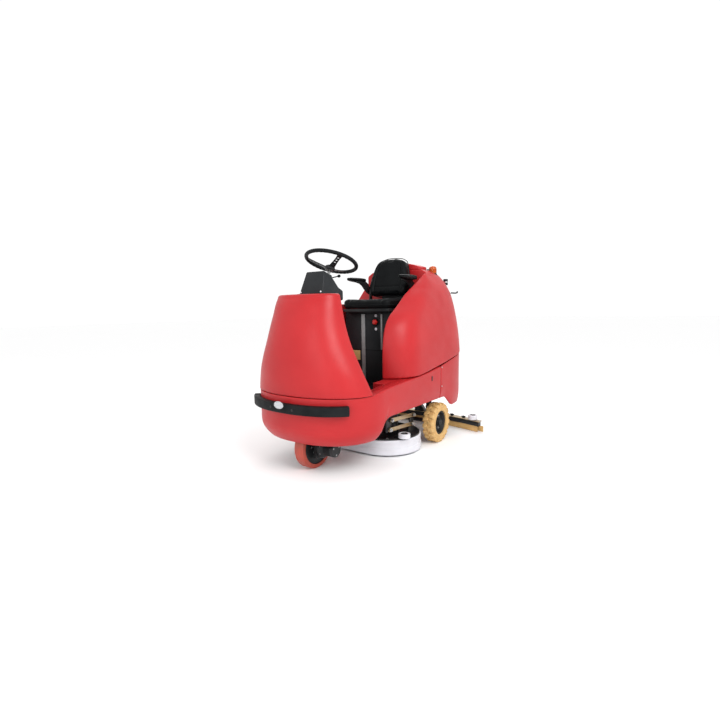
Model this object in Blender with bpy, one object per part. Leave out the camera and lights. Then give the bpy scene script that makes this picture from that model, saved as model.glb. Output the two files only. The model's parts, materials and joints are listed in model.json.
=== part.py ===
"""Ride-on scrubber: an assembly of separate parts, in metres, +Z up.

The front of the machine faces -Y, the driver's left is +X, and the floor is z = 0.
The origin lies on the floor, under the middle of the machine.
"""

import math

import bmesh
import bpy
from mathutils import Matrix, Vector

# Clearances
SEAT_GAP = 0.0003          # between pieces that touch
RUN_GAP = 0.002            # between a turning piece and its bearing
SEAM_GAP = 0.005           # groove between two body mouldings
SWING_GAP = 0.006          # beside a piece that swings or slides
CUT_MARGIN = 0.030         # how far a cutter runs past what it cuts

# Body mouldings
BODY_HALF_WIDTH = 0.48
BODY_WALL = 0.008
NOSE_CENTRE_Y = -0.45
NOSE_DEPTH = 0.425
NOSE_POWER = 2.35
TAIL_CENTRE_Y = 0.45
TAIL_DEPTH = 0.46
TAIL_POWER = 3.4
NOSE_EDGE_Z = 0.215
TAIL_EDGE_Z = 0.262
NOSE_EDGE_END_Y = -0.50
SIDE_EDGE_START_Y = -0.40
TUCK_DEPTH = 0.06
TUCK_HEIGHT = 0.11
SIDE_TUCK_SHARE = 0.2
FLOOR_Z = 0.48
FLOOR_THICKNESS = 0.012
SEAM_Z = (
    (-0.58, 0.525),
    (-0.45, 0.550),
    (-0.20, 0.565),
    (0.05, 0.578),
    (0.30, 0.605),
    (0.55, 0.648),
    (0.80, 0.690),
)
BODY_SHARES = (0.0, 0.06, 0.14, 0.26, 0.42, 0.7, 1.0)    # the skin's rings, from its lower edge up
SIDE_MARKS = (-0.425, -0.30, -0.10, 0.10, 0.43)
COVER_JOINT_Y = 0.335
FOOTWELL_HALF_WIDTH = 0.385
FOOTWELL_FRONT_Y = -0.60
FOOTWELL_REAR_Y = -0.33

# Front cowl, level by level: height, half width, depth ahead of its rear edge, rear edge, oval's power
COWL_LEVELS = (
    (0.600, 0.442, 0.276, -0.595, 2.10),
    (0.680, 0.412, 0.258, -0.612, 2.15),
    (0.760, 0.376, 0.246, -0.620, 2.20),
    (0.850, 0.333, 0.232, -0.622, 2.30),
    (0.950, 0.298, 0.212, -0.622, 2.35),
    (1.040, 0.275, 0.188, -0.620, 2.35),
    (1.110, 0.260, 0.168, -0.618, 2.35),
    (1.145, 0.250, 0.152, -0.616, 2.35),
)
COWL_FOOT = (0.530, 0.464, 0.294, -0.575, 2.10)
COWL_TOP_Z = 1.166
COWL_TOP_INSET = 0.022
COWL_WALL = 0.007
KNEE_PANEL_THICKNESS = 0.006
COLUMN_SLOT_LOW_Z = 0.690
COLUMN_SLOT_HIGH_Z = 0.930

# Recovery tank, level by level: height, half width, front edge, rear depth
TANK_LEVELS = (
    (0.700, 0.478, -0.235, 0.440),
    (0.820, 0.470, -0.230, 0.432),
    (0.930, 0.455, -0.205, 0.426),
    (1.010, 0.440, -0.150, 0.421),
    (1.090, 0.422, -0.040, 0.414),
    (1.170, 0.398, 0.060, 0.404),
    (1.240, 0.366, 0.180, 0.388),
    (1.300, 0.326, 0.300, 0.364),
    (1.345, 0.286, 0.370, 0.332),
    (1.375, 0.240, 0.420, 0.290),
)
TANK_FRONT_POWER = 3.0
TANK_REAR_POWER = 4.0
TANK_FRONT_RADIUS = 0.30
TANK_FRONT_CENTRE_Y = 0.43
TANK_FOOT_RISE = 0.001     # keeps the first level ring above the sloping foot
TANK_WALL = 0.008
TANK_TOP_Z = TANK_LEVELS[-1][0]
BAY_HALF_WIDTH = 0.290
BAY_REAR_Y = 0.455
LOW_WING_Z = 1.100
LOW_WING_END_Y = 0.440
LOW_WING_RISE_Y = 0.580
MOUTH_HALF_WIDTH = 0.140
MOUTH_FRONT_Y = 0.490
MOUTH_REAR_Y = 0.578
LID_HALF_WIDTH = 0.212
LID_FRONT_Y = 0.462
LID_REAR_Y = 0.600
LID_EDGE_Z = 1.404
LID_CROWN = 0.032
LID_WALL = 0.018
LID_STEPS = 8
BODY_REACH = 1.0           # past every piece, for a cutter that takes all on one side

# Bumper
BUMPER_LOW_Z = 0.427
BUMPER_HIGH_Z = 0.487
BUMPER_THICKNESS = 0.048
BUMPER_END_ANGLE = 38.0
BUMPER_END_TAPER = 2.0
REFLECTOR_X = -0.015
REFLECTOR_Z = 0.478
REFLECTOR_HALF_LENGTH = 0.040
REFLECTOR_HALF_HEIGHT = 0.024
REFLECTOR_THICKNESS = 0.006

# Seat support and batteries
BOX_HALF_WIDTH = 0.250
BOX_FRONT_Y = 0.070
BOX_REAR_Y = 0.440
BOX_TOP_Z = 1.030
BOX_WALL = 0.006
BATTERY_LENGTH = 0.330
BATTERY_WIDTH = 0.460
BATTERY_HEADROOM = 0.150    # above the battery's case, for its cables
TERMINAL_RADIUS = 0.010
TERMINAL_HEIGHT = 0.014
STOP_BUTTON_X = 0.050
STOP_BUTTON_Z = BOX_TOP_Z - 0.070
STOP_BUTTON_RADIUS = 0.021
STOP_STEM_RADIUS = 0.012
STOP_TRAVEL = 0.008

# Seat
SEAT_PLATE_THICKNESS = 0.012
SEAT_RAIL_HEIGHT = 0.022
CUSHION_HALF_WIDTH = 0.235
CUSHION_FRONT_Y = -0.030
CUSHION_REAR_Y = 0.350
CUSHION_HEIGHT = 0.070
CUSHION_EDGE = 0.022
BACK_FOOT_Y = 0.285
BACK_LOW_Z = BOX_TOP_Z + 0.140
BACK_HEIGHT = 0.334
BACK_THICKNESS = 0.072
BACK_LEAN = 16.0
BACK_EDGE = 0.012
BACK_OUTLINE = (
    (0.180, 0.0),
    (0.194, 0.06),
    (0.193, 0.10),
    (0.184, 0.165),
    (0.162, 0.245),
    (0.132, 0.315),
    (0.095, BACK_HEIGHT),
)
BACK_STAY_THICKNESS = 0.006
STAY_HALF_WIDTH = 0.100
STAY_HEIGHT = 0.200
ARM_PIVOT_Y = 0.378
ARM_PIVOT_Z = BOX_TOP_Z + 0.173
ARM_PAD_FRONT_Y = 0.100
ARM_PAD_LOW_Z = BOX_TOP_Z + 0.254
ARM_PAD_HEIGHT = 0.036
ARM_PAD_WIDTH = 0.046
ARM_PAD_EDGE = 0.008
ARM_SPACING = 0.257
ARM_PLATE_THICKNESS = 0.006
ARM_PLATE_HALF_HEIGHT = 0.016

# Steering
WHEEL_Y = -0.395
WHEEL_Z = 1.394
WHEEL_RADIUS = 0.190
WHEEL_TUBE_RADIUS = 0.0135
WHEEL_DISH = 0.050
WHEEL_LEAN = 20.3
HUB_RADIUS = 0.036
HUB_HEIGHT = 0.030
SPOKE_HALF_WIDTH = 0.018
SPOKE_THICKNESS = 0.007
SHAFT_RADIUS = 0.011
COLUMN_RADIUS = 0.025
COLUMN_START = 0.100
COLUMN_LENGTH = 0.560
CONSOLE_HALF_WIDTH = 0.106
CONSOLE_TOP_HALF_WIDTH = 0.080
CONSOLE_FOOT_Z = 1.126
CONSOLE_TOP_Z = 1.322
CONSOLE_LEAN = 0.048
CONSOLE_TOP_REAR = (-0.500, 1.296)
CONSOLE_STEP = (-0.447, 1.214)
CONSOLE_SHELF = (-0.400, 1.192)
CONSOLE_WALL = 0.010
LEVER_LENGTH = 0.070
LEVER_RADIUS = 0.004
LEVER_RISE = 0.010
LEVER_COLLAR_WALL = 0.006
LEVER_COLLAR_HEIGHT = 0.016
KEY_X = 0.058
KEY_RADIUS = 0.009
KEY_STEM_RADIUS = 0.0045
KEY_LENGTH = 0.026

# Drive unit
DRIVE_X = 0.010
DRIVE_Y = -0.642
DRIVE_RADIUS = 0.150
DRIVE_WIDTH = 0.080
DRIVE_TREAD = 0.030
DRIVE_SHOULDER = 0.006
DRIVE_HUB_RECESS = 0.004
DRIVE_AXLE_RADIUS = 0.018
FORK_TOP_Z = 0.360
FORK_DISC_THICKNESS = 0.022
FORK_DISC_RADIUS = 0.120
FORK_ARM_THICKNESS = 0.026
FORK_ARM_HALF_WIDTH = 0.050
FORK_POST_RADIUS = 0.022
MOTOR_RADIUS = 0.068
MOTOR_LENGTH = 0.130
STEER_BOX_HALF_SIZE = 0.048
STEER_BOX_HEIGHT = 0.070
STEER_BOX_Y = -0.676
STEER_BOX_EDGE = 0.006

# Rear wheels
REAR_AXLE_Y = 0.346
REAR_RADIUS = 0.157
REAR_WIDTH = 0.0935
REAR_RIM_RADIUS = 0.094
REAR_AXLE_RADIUS = 0.016
REAR_BEARING_RADIUS = 0.030

# The body's lower edge clears the rear wheels
SIDE_EDGE_Z = 2 * REAR_RADIUS + 0.041
TAIL_EDGE_START_Y = REAR_AXLE_Y + REAR_RADIUS + 0.057
SIDE_EDGE_END_Y = TAIL_EDGE_START_Y - 0.160

# Brush deck: its rounded ends stay ahead of the rear wheels
DECK_RADIUS = 0.260
DECK_ARC_X = 0.186
DECK_TYRE_GAP = 0.0165
DECK_NEAR_TYRE = min(BODY_HALF_WIDTH - REAR_WIDTH - DECK_ARC_X, 0.78 * DECK_RADIUS)
DECK_Y = (REAR_AXLE_Y - REAR_RADIUS - DECK_TYRE_GAP
          - math.sqrt(DECK_RADIUS ** 2 - DECK_NEAR_TYRE ** 2))
DECK_PLATE_Z = 0.125
DECK_PLATE_THICKNESS = 0.009
SKIRT_LOW_Z = 0.012
SKIRT_THICKNESS = 0.012
BRUSH_X = 0.213
BRUSH_RADIUS = 0.205
BRUSH_LOW_Z = 0.003
BRISTLE_HEIGHT = 0.050
BRUSH_BLOCK_HEIGHT = 0.028
BRUSH_POST_RADIUS = 0.020
BRUSH_MOTOR_RADIUS = 0.062
BRUSH_MOTOR_HEIGHT = 0.165
BUMP_ROLLER_X = 0.412
BUMP_ROLLER_Y = -0.115
BUMP_ROLLER_RADIUS = 0.044
BUMP_ROLLER_HEIGHT = 0.034
ROLLER_PIN_RADIUS = 0.007
ROLLER_ARM_LENGTH = 0.082
ROLLER_ARM_FOOT = 0.040

# Deck lift links: a parallelogram on each side
LINK_X = 0.358
LINK_THICKNESS = 0.010
LINK_HALF_HEIGHT = 0.015
LOWER_FRONT_Y = -0.225
LOWER_FRONT_Z = 0.212
LINK_RUN = 0.310
LINK_DROP = 0.022
UPPER_SHIFT_Y = 0.020
UPPER_SHIFT_Z = 0.066
LINK_PIN_RADIUS = 0.007
LINK_BRACKET_THICKNESS = 0.010

# Squeegee
SQUEEGEE_HALF_CHORD = 0.655
SQUEEGEE_MIDDLE_Y = 0.872
SQUEEGEE_BOW = 0.105
SQUEEGEE_BODY_HALF_DEPTH = 0.028
SQUEEGEE_BODY_LOW_Z = 0.052
SQUEEGEE_BODY_HIGH_Z = 0.090
SQUEEGEE_PLATE_THICKNESS = 0.005
SQUEEGEE_PLATE_LIP = 0.004
SQUEEGEE_PLATE_SHORTER = 0.020      # at each end, than the rear blade
SQUEEGEE_BODY_SHORTER = 0.030
FRONT_BLADE_SHORTER = 0.040
BLADE_THICKNESS = 0.005
BLADE_LOW_Z = 0.003
BLADE_OFFSET = 0.022
WALL_ROLLER_X = 0.555
WALL_ROLLER_RADIUS = 0.040
WALL_ROLLER_HEIGHT = 0.040
SWING_Y = 0.585
SWING_RADIUS = 0.030
ARM_HINGE_Y = 0.640
ARM_HINGE_Z = 0.300
ARM_HALF_WIDTH = 0.045
ARM_BAR_HALF_HEIGHT = 0.012
SPIGOT_RADIUS = 0.026
SPIGOT_WALL = 0.003
SPIGOT_HEIGHT = 0.060
SPIGOT_X = 0.090

# Chassis
RAIL_X = 0.300
RAIL_WIDTH = 0.040
RAIL_LOW_Z = 0.405
RAIL_HIGH_Z = 0.455
RAIL_FRONT_Y = -0.700
RAIL_REAR_Y = 0.740
CROSS_WIDTH = 0.050
CROSS_END_Y = 0.710
HEAD_PLATE_REAR_Y = -0.500
HEAD_PLATE_THICKNESS = 0.014
AXLE_BRACKET_THICKNESS = 0.014
AXLE_BRACKET_HALF_WIDTH = 0.035

# Pedals
ACCELERATOR_X = -0.150
PEDAL_HINGE_Y = -0.360
PEDAL_FOOT_HALF_LENGTH = 0.015
PEDAL_LENGTH = 0.170
PEDAL_RISE = 20.0
PEDAL_HALF_WIDTH = 0.045
PEDAL_THICKNESS = 0.008
PEDAL_HINGE_RADIUS = 0.007

# Tank fittings
VACUUM_Y = 0.740
VACUUM_RADIUS = 0.085
VACUUM_HEIGHT = 0.140
VACUUM_LOW_Z = 0.440
BEACON_X = 0.247
BEACON_Y = 0.642
BEACON_RADIUS = 0.036
BEACON_LOW_Z = 1.335
BEACON_HEIGHT = 0.080
BEACON_STEM_RADIUS = 0.014
BEACON_STEM_DEPTH = 0.030
DRAIN_CAP_X = 0.281
DRAIN_CAP_Y = 0.820
DRAIN_CAP_RADIUS = 0.020
DRAIN_CAP_LOW_Z = 1.257
DRAIN_CAP_HIGH_Z = 1.309
DRAIN_STEM_RADIUS = 0.009
DRAIN_STEM_LENGTH = 0.075
SOLUTION_HALF_WIDTH = 0.170
SOLUTION_FOOT_FRONT_Y = -0.830
SOLUTION_TOP_FRONT_Y = -0.785
SOLUTION_REAR_Y = -0.730
SOLUTION_TOP_Z = 0.960
SOLUTION_WALL = 0.005
FILLER_X = 0.105
FILLER_Z = 0.900
FILLER_RADIUS = 0.034
FILLER_CAP_RADIUS = 0.042
FILLER_CAP_THICKNESS = 0.018

# Points round a turned piece
TURN_POINTS = 24
WHEEL_POINTS = 32
PIN_POINTS = 12
ROLLER_POINTS = 16
NOSE_POINTS = 24
COWL_POINTS = 26
TANK_POINTS = 20
BUMPER_POINTS = 25

# Colour, roughness and metal of each finish
FINISHES = {
    "red_moulding": ((0.60, 0.035, 0.035), 0.38, 0.0),
    "charcoal_plastic": ((0.035, 0.040, 0.042), 0.50, 0.0),
    "black_paint": ((0.015, 0.016, 0.018), 0.40, 0.3),
    "black_rubber": ((0.020, 0.020, 0.022), 0.70, 0.0),
    "black_vinyl": ((0.016, 0.017, 0.019), 0.48, 0.0),
    "white_plastic": ((0.80, 0.80, 0.84), 0.42, 0.0),
    "red_polyurethane": ((0.42, 0.060, 0.035), 0.45, 0.0),
    "tan_rubber": ((0.74, 0.44, 0.14), 0.62, 0.0),
    "aluminium": ((0.42, 0.43, 0.43), 0.35, 1.0),
    "yellow_zinc": ((0.42, 0.30, 0.16), 0.36, 0.9),
    "steel": ((0.50, 0.50, 0.50), 0.32, 1.0),
    "blue_bristle": ((0.05, 0.10, 0.30), 0.70, 0.0),
    "orange_lens": ((0.85, 0.20, 0.02), 0.20, 0.0),
    "red_button": ((0.62, 0.02, 0.02), 0.30, 0.0),
    "white_reflector": ((0.75, 0.75, 0.75), 0.25, 0.0),
    "battery_case": ((0.06, 0.06, 0.07), 0.50, 0.0),
    "natural_tank": ((0.70, 0.70, 0.66), 0.50, 0.0),
}


def remove_old_objects():
    for item in list(bpy.data.objects):
        bpy.data.objects.remove(item, do_unlink=True)


def make_material(name, color, roughness, metallic=0.0):
    material = bpy.data.materials.new(name)
    material.use_nodes = True
    shader = material.node_tree.nodes["Principled BSDF"]
    shader.inputs["Base Color"].default_value = (*color, 1.0)
    shader.inputs["Roughness"].default_value = roughness
    shader.inputs["Metallic"].default_value = metallic
    material.diffuse_color = (*color, 1.0)
    return material


def finish_object(name, mesh_data, finish):
    """Links a solid as an object of its own, with its faces out and its own material."""
    bmesh.ops.recalc_face_normals(mesh_data, faces=mesh_data.faces)
    mesh = bpy.data.meshes.new(name)
    mesh_data.to_mesh(mesh)
    mesh_data.free()
    mesh.shade_smooth()
    mesh.set_sharp_from_angle(angle=math.radians(32))
    item = bpy.data.objects.new(name, mesh)
    bpy.context.collection.objects.link(item)
    if finish:
        item.data.materials.append(make_material(name + "_finish", *FINISHES[finish]))
    return item


def skin_rings(mesh_data, rings, wrap_rings=False, open_ring=False):
    """Joins rings of equal length with faces, and returns the rings' vertices."""
    grid = [[mesh_data.verts.new(point) for point in ring] for ring in rings]
    count = len(grid[0])
    last = count - 1 if open_ring else count
    pairs = list(zip(grid, grid[1:]))
    if wrap_rings:
        pairs.append((grid[-1], grid[0]))
    for lower, upper in pairs:
        for index in range(last):
            after = (index + 1) % count
            mesh_data.faces.new((lower[index], lower[after], upper[after], upper[index]))
    return grid


def block(name, low, high, finish, bevel=0.0):
    mesh_data = bmesh.new()
    bmesh.ops.create_cube(mesh_data, size=1.0)
    size = Vector(high) - Vector(low)
    middle = (Vector(high) + Vector(low)) / 2
    mesh_data.transform(Matrix.Translation(middle) @ Matrix.Diagonal((*size, 1.0)))
    if bevel:
        bmesh.ops.bevel(mesh_data, geom=mesh_data.edges[:], offset=bevel, segments=2, profile=0.5,
                        affect="EDGES")
    return finish_object(name, mesh_data, finish)


def prism(name, outline, axis, low, high, finish, bevel=0.0):
    """Extrudes an outline along x, y or z. The outline's pairs are the other two axes in order."""
    place = {
        "x": lambda a, b, c: (c, a, b),
        "y": lambda a, b, c: (a, c, b),
        "z": lambda a, b, c: (a, b, c),
    }[axis]
    mesh_data = bmesh.new()
    rings = [[place(a, b, depth) for a, b in outline] for depth in (low, high)]
    grid = skin_rings(mesh_data, rings)
    mesh_data.faces.new(grid[0])
    mesh_data.faces.new(grid[-1])
    if bevel:
        bmesh.ops.bevel(mesh_data, geom=mesh_data.edges[:], offset=bevel, segments=2, profile=0.5,
                        affect="EDGES", clamp_overlap=True)
    return finish_object(name, mesh_data, finish)


def turned(name, profile, centre, direction, finish, points=TURN_POINTS, ring=False):
    """Turns a profile of (radius, height) pairs round an axis. A ring's profile closes on itself."""
    mesh_data = bmesh.new()
    turn = Vector((0, 0, 1)).rotation_difference(Vector(direction)).to_matrix().to_4x4()
    frame = Matrix.Translation(centre) @ turn
    rings = []
    for radius, height in profile:
        angles = [2 * math.pi * step / points for step in range(points)]
        rings.append([frame @ Vector((radius * math.cos(a), radius * math.sin(a), height)) for a in angles])
    grid = skin_rings(mesh_data, rings, wrap_rings=ring)
    if not ring:
        mesh_data.faces.new(grid[0])
        mesh_data.faces.new(grid[-1])
    return finish_object(name, mesh_data, finish)


def rod(name, start, end, radius, finish, points=PIN_POINTS):
    start = Vector(start)
    direction = Vector(end) - start
    return turned(name, ((radius, 0), (radius, direction.length)), start, direction, finish, points)


def boolean(item, others, operation):
    """Cuts others out of a solid, or welds them on. The others stay as hidden guides."""
    for other in others:
        other.hide_render = True
        other.display_type = "WIRE"
        step = item.modifiers.new(other.name, "BOOLEAN")
        step.operation = operation
        step.solver = "EXACT"
        step.object = other
    return item


def cut(item, *others):
    return boolean(item, others, "DIFFERENCE")


def weld(item, *others):
    return boolean(item, others, "UNION")


def hold_at(item, point):
    """Gives a moving piece its origin on its joint's axis."""
    shift = Vector(point)
    item.data.transform(Matrix.Translation(-shift))
    item.location = shift
    return item


def interpolate(pairs, value):
    """Reads a smooth curve through (position, height) pairs."""
    if value <= pairs[0][0]:
        return pairs[0][1]
    for (start, low), (end, high) in zip(pairs, pairs[1:]):
        if value <= end:
            share = (value - start) / (end - start)
            return low + (high - low) * share
    return pairs[-1][1]


def ease(value, start, end):
    share = min(1.0, max(0.0, (value - start) / (end - start)))
    return share * share * (3 - 2 * share)


def oval_point(angle, half_width, depth, power):
    """A point of a superellipse; the power squares its corners."""
    across = math.copysign(abs(math.cos(angle)) ** (2 / power), math.cos(angle))
    along = math.copysign(abs(math.sin(angle)) ** (2 / power), math.sin(angle))
    return half_width * across, depth * along


def half_oval(half_width, depth, centre_y, power, points, front=True):
    """Half an oval, from one side to the other, round the front or the back."""
    side = -1 if front else 1
    angles = [math.pi * step / (points - 1) for step in range(points)]
    pairs = [oval_point(angle, half_width, depth, power) for angle in angles]
    return [(side * x, centre_y + side * y) for x, y in pairs]


def seam_z(y):
    return interpolate(SEAM_Z, y)


def edge_z(y):
    """Height of the body's lower edge: low at the nose, higher along the side, lower at the tail."""
    front = NOSE_EDGE_Z + (SIDE_EDGE_Z - NOSE_EDGE_Z) * ease(y, NOSE_EDGE_END_Y, SIDE_EDGE_START_Y)
    return front + (TAIL_EDGE_Z - SIDE_EDGE_Z) * ease(y, SIDE_EDGE_END_Y, TAIL_EDGE_START_Y)


def tuck(y, height):
    """How far the skin curls in, this high above its lower edge."""
    share = max(0.0, 1 - height / TUCK_HEIGHT) ** 2
    side_share = 1 - (1 - SIDE_TUCK_SHARE) * ease(y, NOSE_EDGE_END_Y, SIDE_EDGE_START_Y)
    return TUCK_DEPTH * share * side_share


def side_stations(start, end):
    """Places along the straight side, close together where the lower edge curves."""
    marks = sorted(SIDE_MARKS + (NOSE_CENTRE_Y, SIDE_EDGE_START_Y, SIDE_EDGE_END_Y, TAIL_CENTRE_Y))
    return [start] + [y for y in marks if start < y < end] + [end]


def inset_path(points, insets, closed=False):
    """Moves each point of a path to its left by its own inset. Outlines run round their middle that way."""
    moved = []
    count = len(points)
    for index, (x, y) in enumerate(points):
        if closed:
            before, after = points[index - 1], points[(index + 1) % count]
        else:
            before, after = points[max(index - 1, 0)], points[min(index + 1, count - 1)]
        run = Vector((after[0] - before[0], after[1] - before[1])).normalized()
        moved.append((x - run.y * insets[index], y + run.x * insets[index]))
    return moved


def mirror_capped(name, rings, finish):
    """A loft whose rings are the same on both sides, so that its ends close with level strips."""
    mesh_data = bmesh.new()
    grid = skin_rings(mesh_data, rings)
    half = len(rings[0]) // 2
    for ring in (grid[0], grid[-1]):
        for index in range(half - 1):
            mesh_data.faces.new((ring[index], ring[index + 1], ring[-2 - index], ring[-1 - index]))
    bmesh.ops.triangulate(mesh_data, faces=mesh_data.faces[:])
    return finish_object(name, mesh_data, finish)


# Lower body, with the footwell between its sills

def lower_outline(rear_y):
    """From the rear left corner, round the nose, to the rear right corner."""
    nose = half_oval(BODY_HALF_WIDTH, NOSE_DEPTH, NOSE_CENTRE_Y, NOSE_POWER, NOSE_POINTS)
    side = side_stations(NOSE_CENTRE_Y, rear_y)[1:]
    left = [(-BODY_HALF_WIDTH, y) for y in reversed(side)]
    right = [(BODY_HALF_WIDTH, y) for y in side]
    return left + nose + right


def body_ring(outline, share, inset, low_margin, top):
    ring = []
    heights = []
    for _, y in outline:
        low = edge_z(y) - low_margin
        heights.append(low + (top(y) - low) * share)
    insets = [inset + tuck(y, z - edge_z(y)) for (_, y), z in zip(outline, heights)]
    for (x, y), z in zip(inset_path(outline, insets), heights):
        ring.append((x, y, z))
    return ring



def make_lower_body():
    outline = lower_outline(COVER_JOINT_Y - SEAM_GAP)
    rings = [body_ring(outline, share, 0.0, 0.0, seam_z) for share in BODY_SHARES]
    body = mirror_capped("lower_body", rings, "red_moulding")
    inner_outline = lower_outline(COVER_JOINT_Y + BODY_WALL)
    under_floor = FLOOR_Z - FLOOR_THICKNESS
    inner = [body_ring(inner_outline, share, BODY_WALL, 2 * BODY_WALL, lambda y: under_floor)
             for share in BODY_SHARES]
    hollow = mirror_capped("lower_body_hollow", inner, None)
    footwell = block("footwell_cutter", (-FOOTWELL_HALF_WIDTH, FOOTWELL_FRONT_Y, FLOOR_Z),
                     (FOOTWELL_HALF_WIDTH, FOOTWELL_REAR_Y, BODY_REACH), None)
    bay = block("bay_floor_cutter", (-BAY_HALF_WIDTH, FOOTWELL_REAR_Y - BODY_WALL, FLOOR_Z),
                (BAY_HALF_WIDTH, COVER_JOINT_Y + BODY_WALL, BODY_REACH), None)
    post_radius = FORK_POST_RADIUS + SWING_GAP
    post = rod("post_cutter", (DRIVE_X, DRIVE_Y, FLOOR_Z - 2 * FLOOR_THICKNESS),
               (DRIVE_X, DRIVE_Y, BODY_REACH), post_radius, None)
    return cut(body, hollow, footwell, bay, post)


def make_rear_cover():
    """The skin over the rear wheels and round the tail, open ahead and above."""
    tail = half_oval(BODY_HALF_WIDTH, TAIL_DEPTH, TAIL_CENTRE_Y, TAIL_POWER, NOSE_POINTS, front=False)
    side = side_stations(COVER_JOINT_Y, TAIL_CENTRE_Y)[:-1]
    right = [(BODY_HALF_WIDTH, y) for y in side]
    left = [(-BODY_HALF_WIDTH, y) for y in reversed(side)]
    outline = right + tail + left
    mesh_data = bmesh.new()
    skins = []
    for inset in (0.0, BODY_WALL):
        skins.append([body_ring(outline, share, inset, 0.0, seam_z) for share in BODY_SHARES])
    outer, inner = skins
    rings = outer + inner[::-1]
    grid = skin_rings(mesh_data, rings, wrap_rings=True, open_ring=True)
    for end in (0, -1):
        mesh_data.faces.new([ring[end] for ring in grid])
    return finish_object("rear_lower_cover", mesh_data, "red_moulding")


# Front cowl

def cowl_rings(inset, top):
    """The skin's rings from its foot, which follows the seam, to its top."""
    rings = []
    for z, half_width, depth, rear_y, power in (COWL_FOOT,) + COWL_LEVELS:
        points = half_oval(half_width - inset, depth - inset, rear_y, power, COWL_POINTS)
        if z == COWL_FOOT[0]:
            rings.append([(x, y, seam_z(y) + SEAM_GAP) for x, y in points])
        else:
            rings.append([(x, y, z) for x, y in points])
    last_z, half_width, depth, rear_y, power = COWL_LEVELS[-1]
    for z, share in (((last_z + top) / 2 + COWL_TOP_INSET / 6, 1 / 3), (top, 1.0)):
        shrink = inset + COWL_TOP_INSET * share
        points = half_oval(half_width - shrink, depth - shrink, rear_y, power, COWL_POINTS)
        rings.append([(x, y, z) for x, y in points])
    return rings


def cowl_half_width(level, y):
    """Half the outer skin's width at one level, at a place ahead of its rear edge."""
    _, half_width, depth, rear_y, power = level
    share = max(0.0, (rear_y - y) / depth)
    return half_width * (1 - share ** power) ** (1 / power)


def make_front_cowl():
    """A U-shaped skin with a closed top: an outer skin and an inner one, joined at their edges."""
    mesh_data = bmesh.new()
    skins = []
    for inset, top in ((0.0, COWL_TOP_Z), (COWL_WALL, COWL_TOP_Z - COWL_WALL)):
        grid = skin_rings(mesh_data, cowl_rings(inset, top), open_ring=True)
        ring = grid[-1]
        for index in range(len(ring) // 2 - 1):
            mesh_data.faces.new((ring[index], ring[index + 1], ring[-2 - index], ring[-1 - index]))
        skins.append(grid)
    outer, inner = skins
    for index in range(len(outer[0]) - 1):
        mesh_data.faces.new((outer[0][index], outer[0][index + 1], inner[0][index + 1], inner[0][index]))
    for end in (0, -1):
        for level in range(len(outer) - 1):
            mesh_data.faces.new((outer[level][end], outer[level + 1][end],
                                 inner[level + 1][end], inner[level][end]))
    mesh_data.faces.new((outer[-1][0], outer[-1][-1], inner[-1][-1], inner[-1][0]))
    return finish_object("front_cowl", mesh_data, "red_moulding")


def panel_rear_y():
    return min(level[3] for level in COWL_LEVELS)


def make_knee_panel():
    """The flat panel ahead of the driver's knees, inside the cowl's rear edge."""
    rear_y = panel_rear_y()
    front_y = rear_y - KNEE_PANEL_THICKNESS
    clear = COWL_WALL + RUN_GAP
    rows = [(cowl_half_width(level, front_y) - clear, level[0]) for level in (COWL_FOOT,) + COWL_LEVELS]
    rows[0] = (rows[0][0], seam_z(rear_y) + SEAM_GAP)
    outline = rows + [(-half, z) for half, z in reversed(rows)]
    panel = prism("knee_panel", outline, "y", front_y, rear_y, "charcoal_plastic")
    half_slot = COLUMN_RADIUS + SWING_GAP
    slot = block("column_slot_cutter", (-half_slot, front_y - CUT_MARGIN, COLUMN_SLOT_LOW_Z),
                 (half_slot, rear_y + CUT_MARGIN, COLUMN_SLOT_HIGH_Z), None)
    filler = rod("filler_cutter", (FILLER_X, front_y - CUT_MARGIN, FILLER_Z),
                 (FILLER_X, rear_y + CUT_MARGIN, FILLER_Z), FILLER_RADIUS + RUN_GAP, None)
    return cut(panel, slot, filler)


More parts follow.
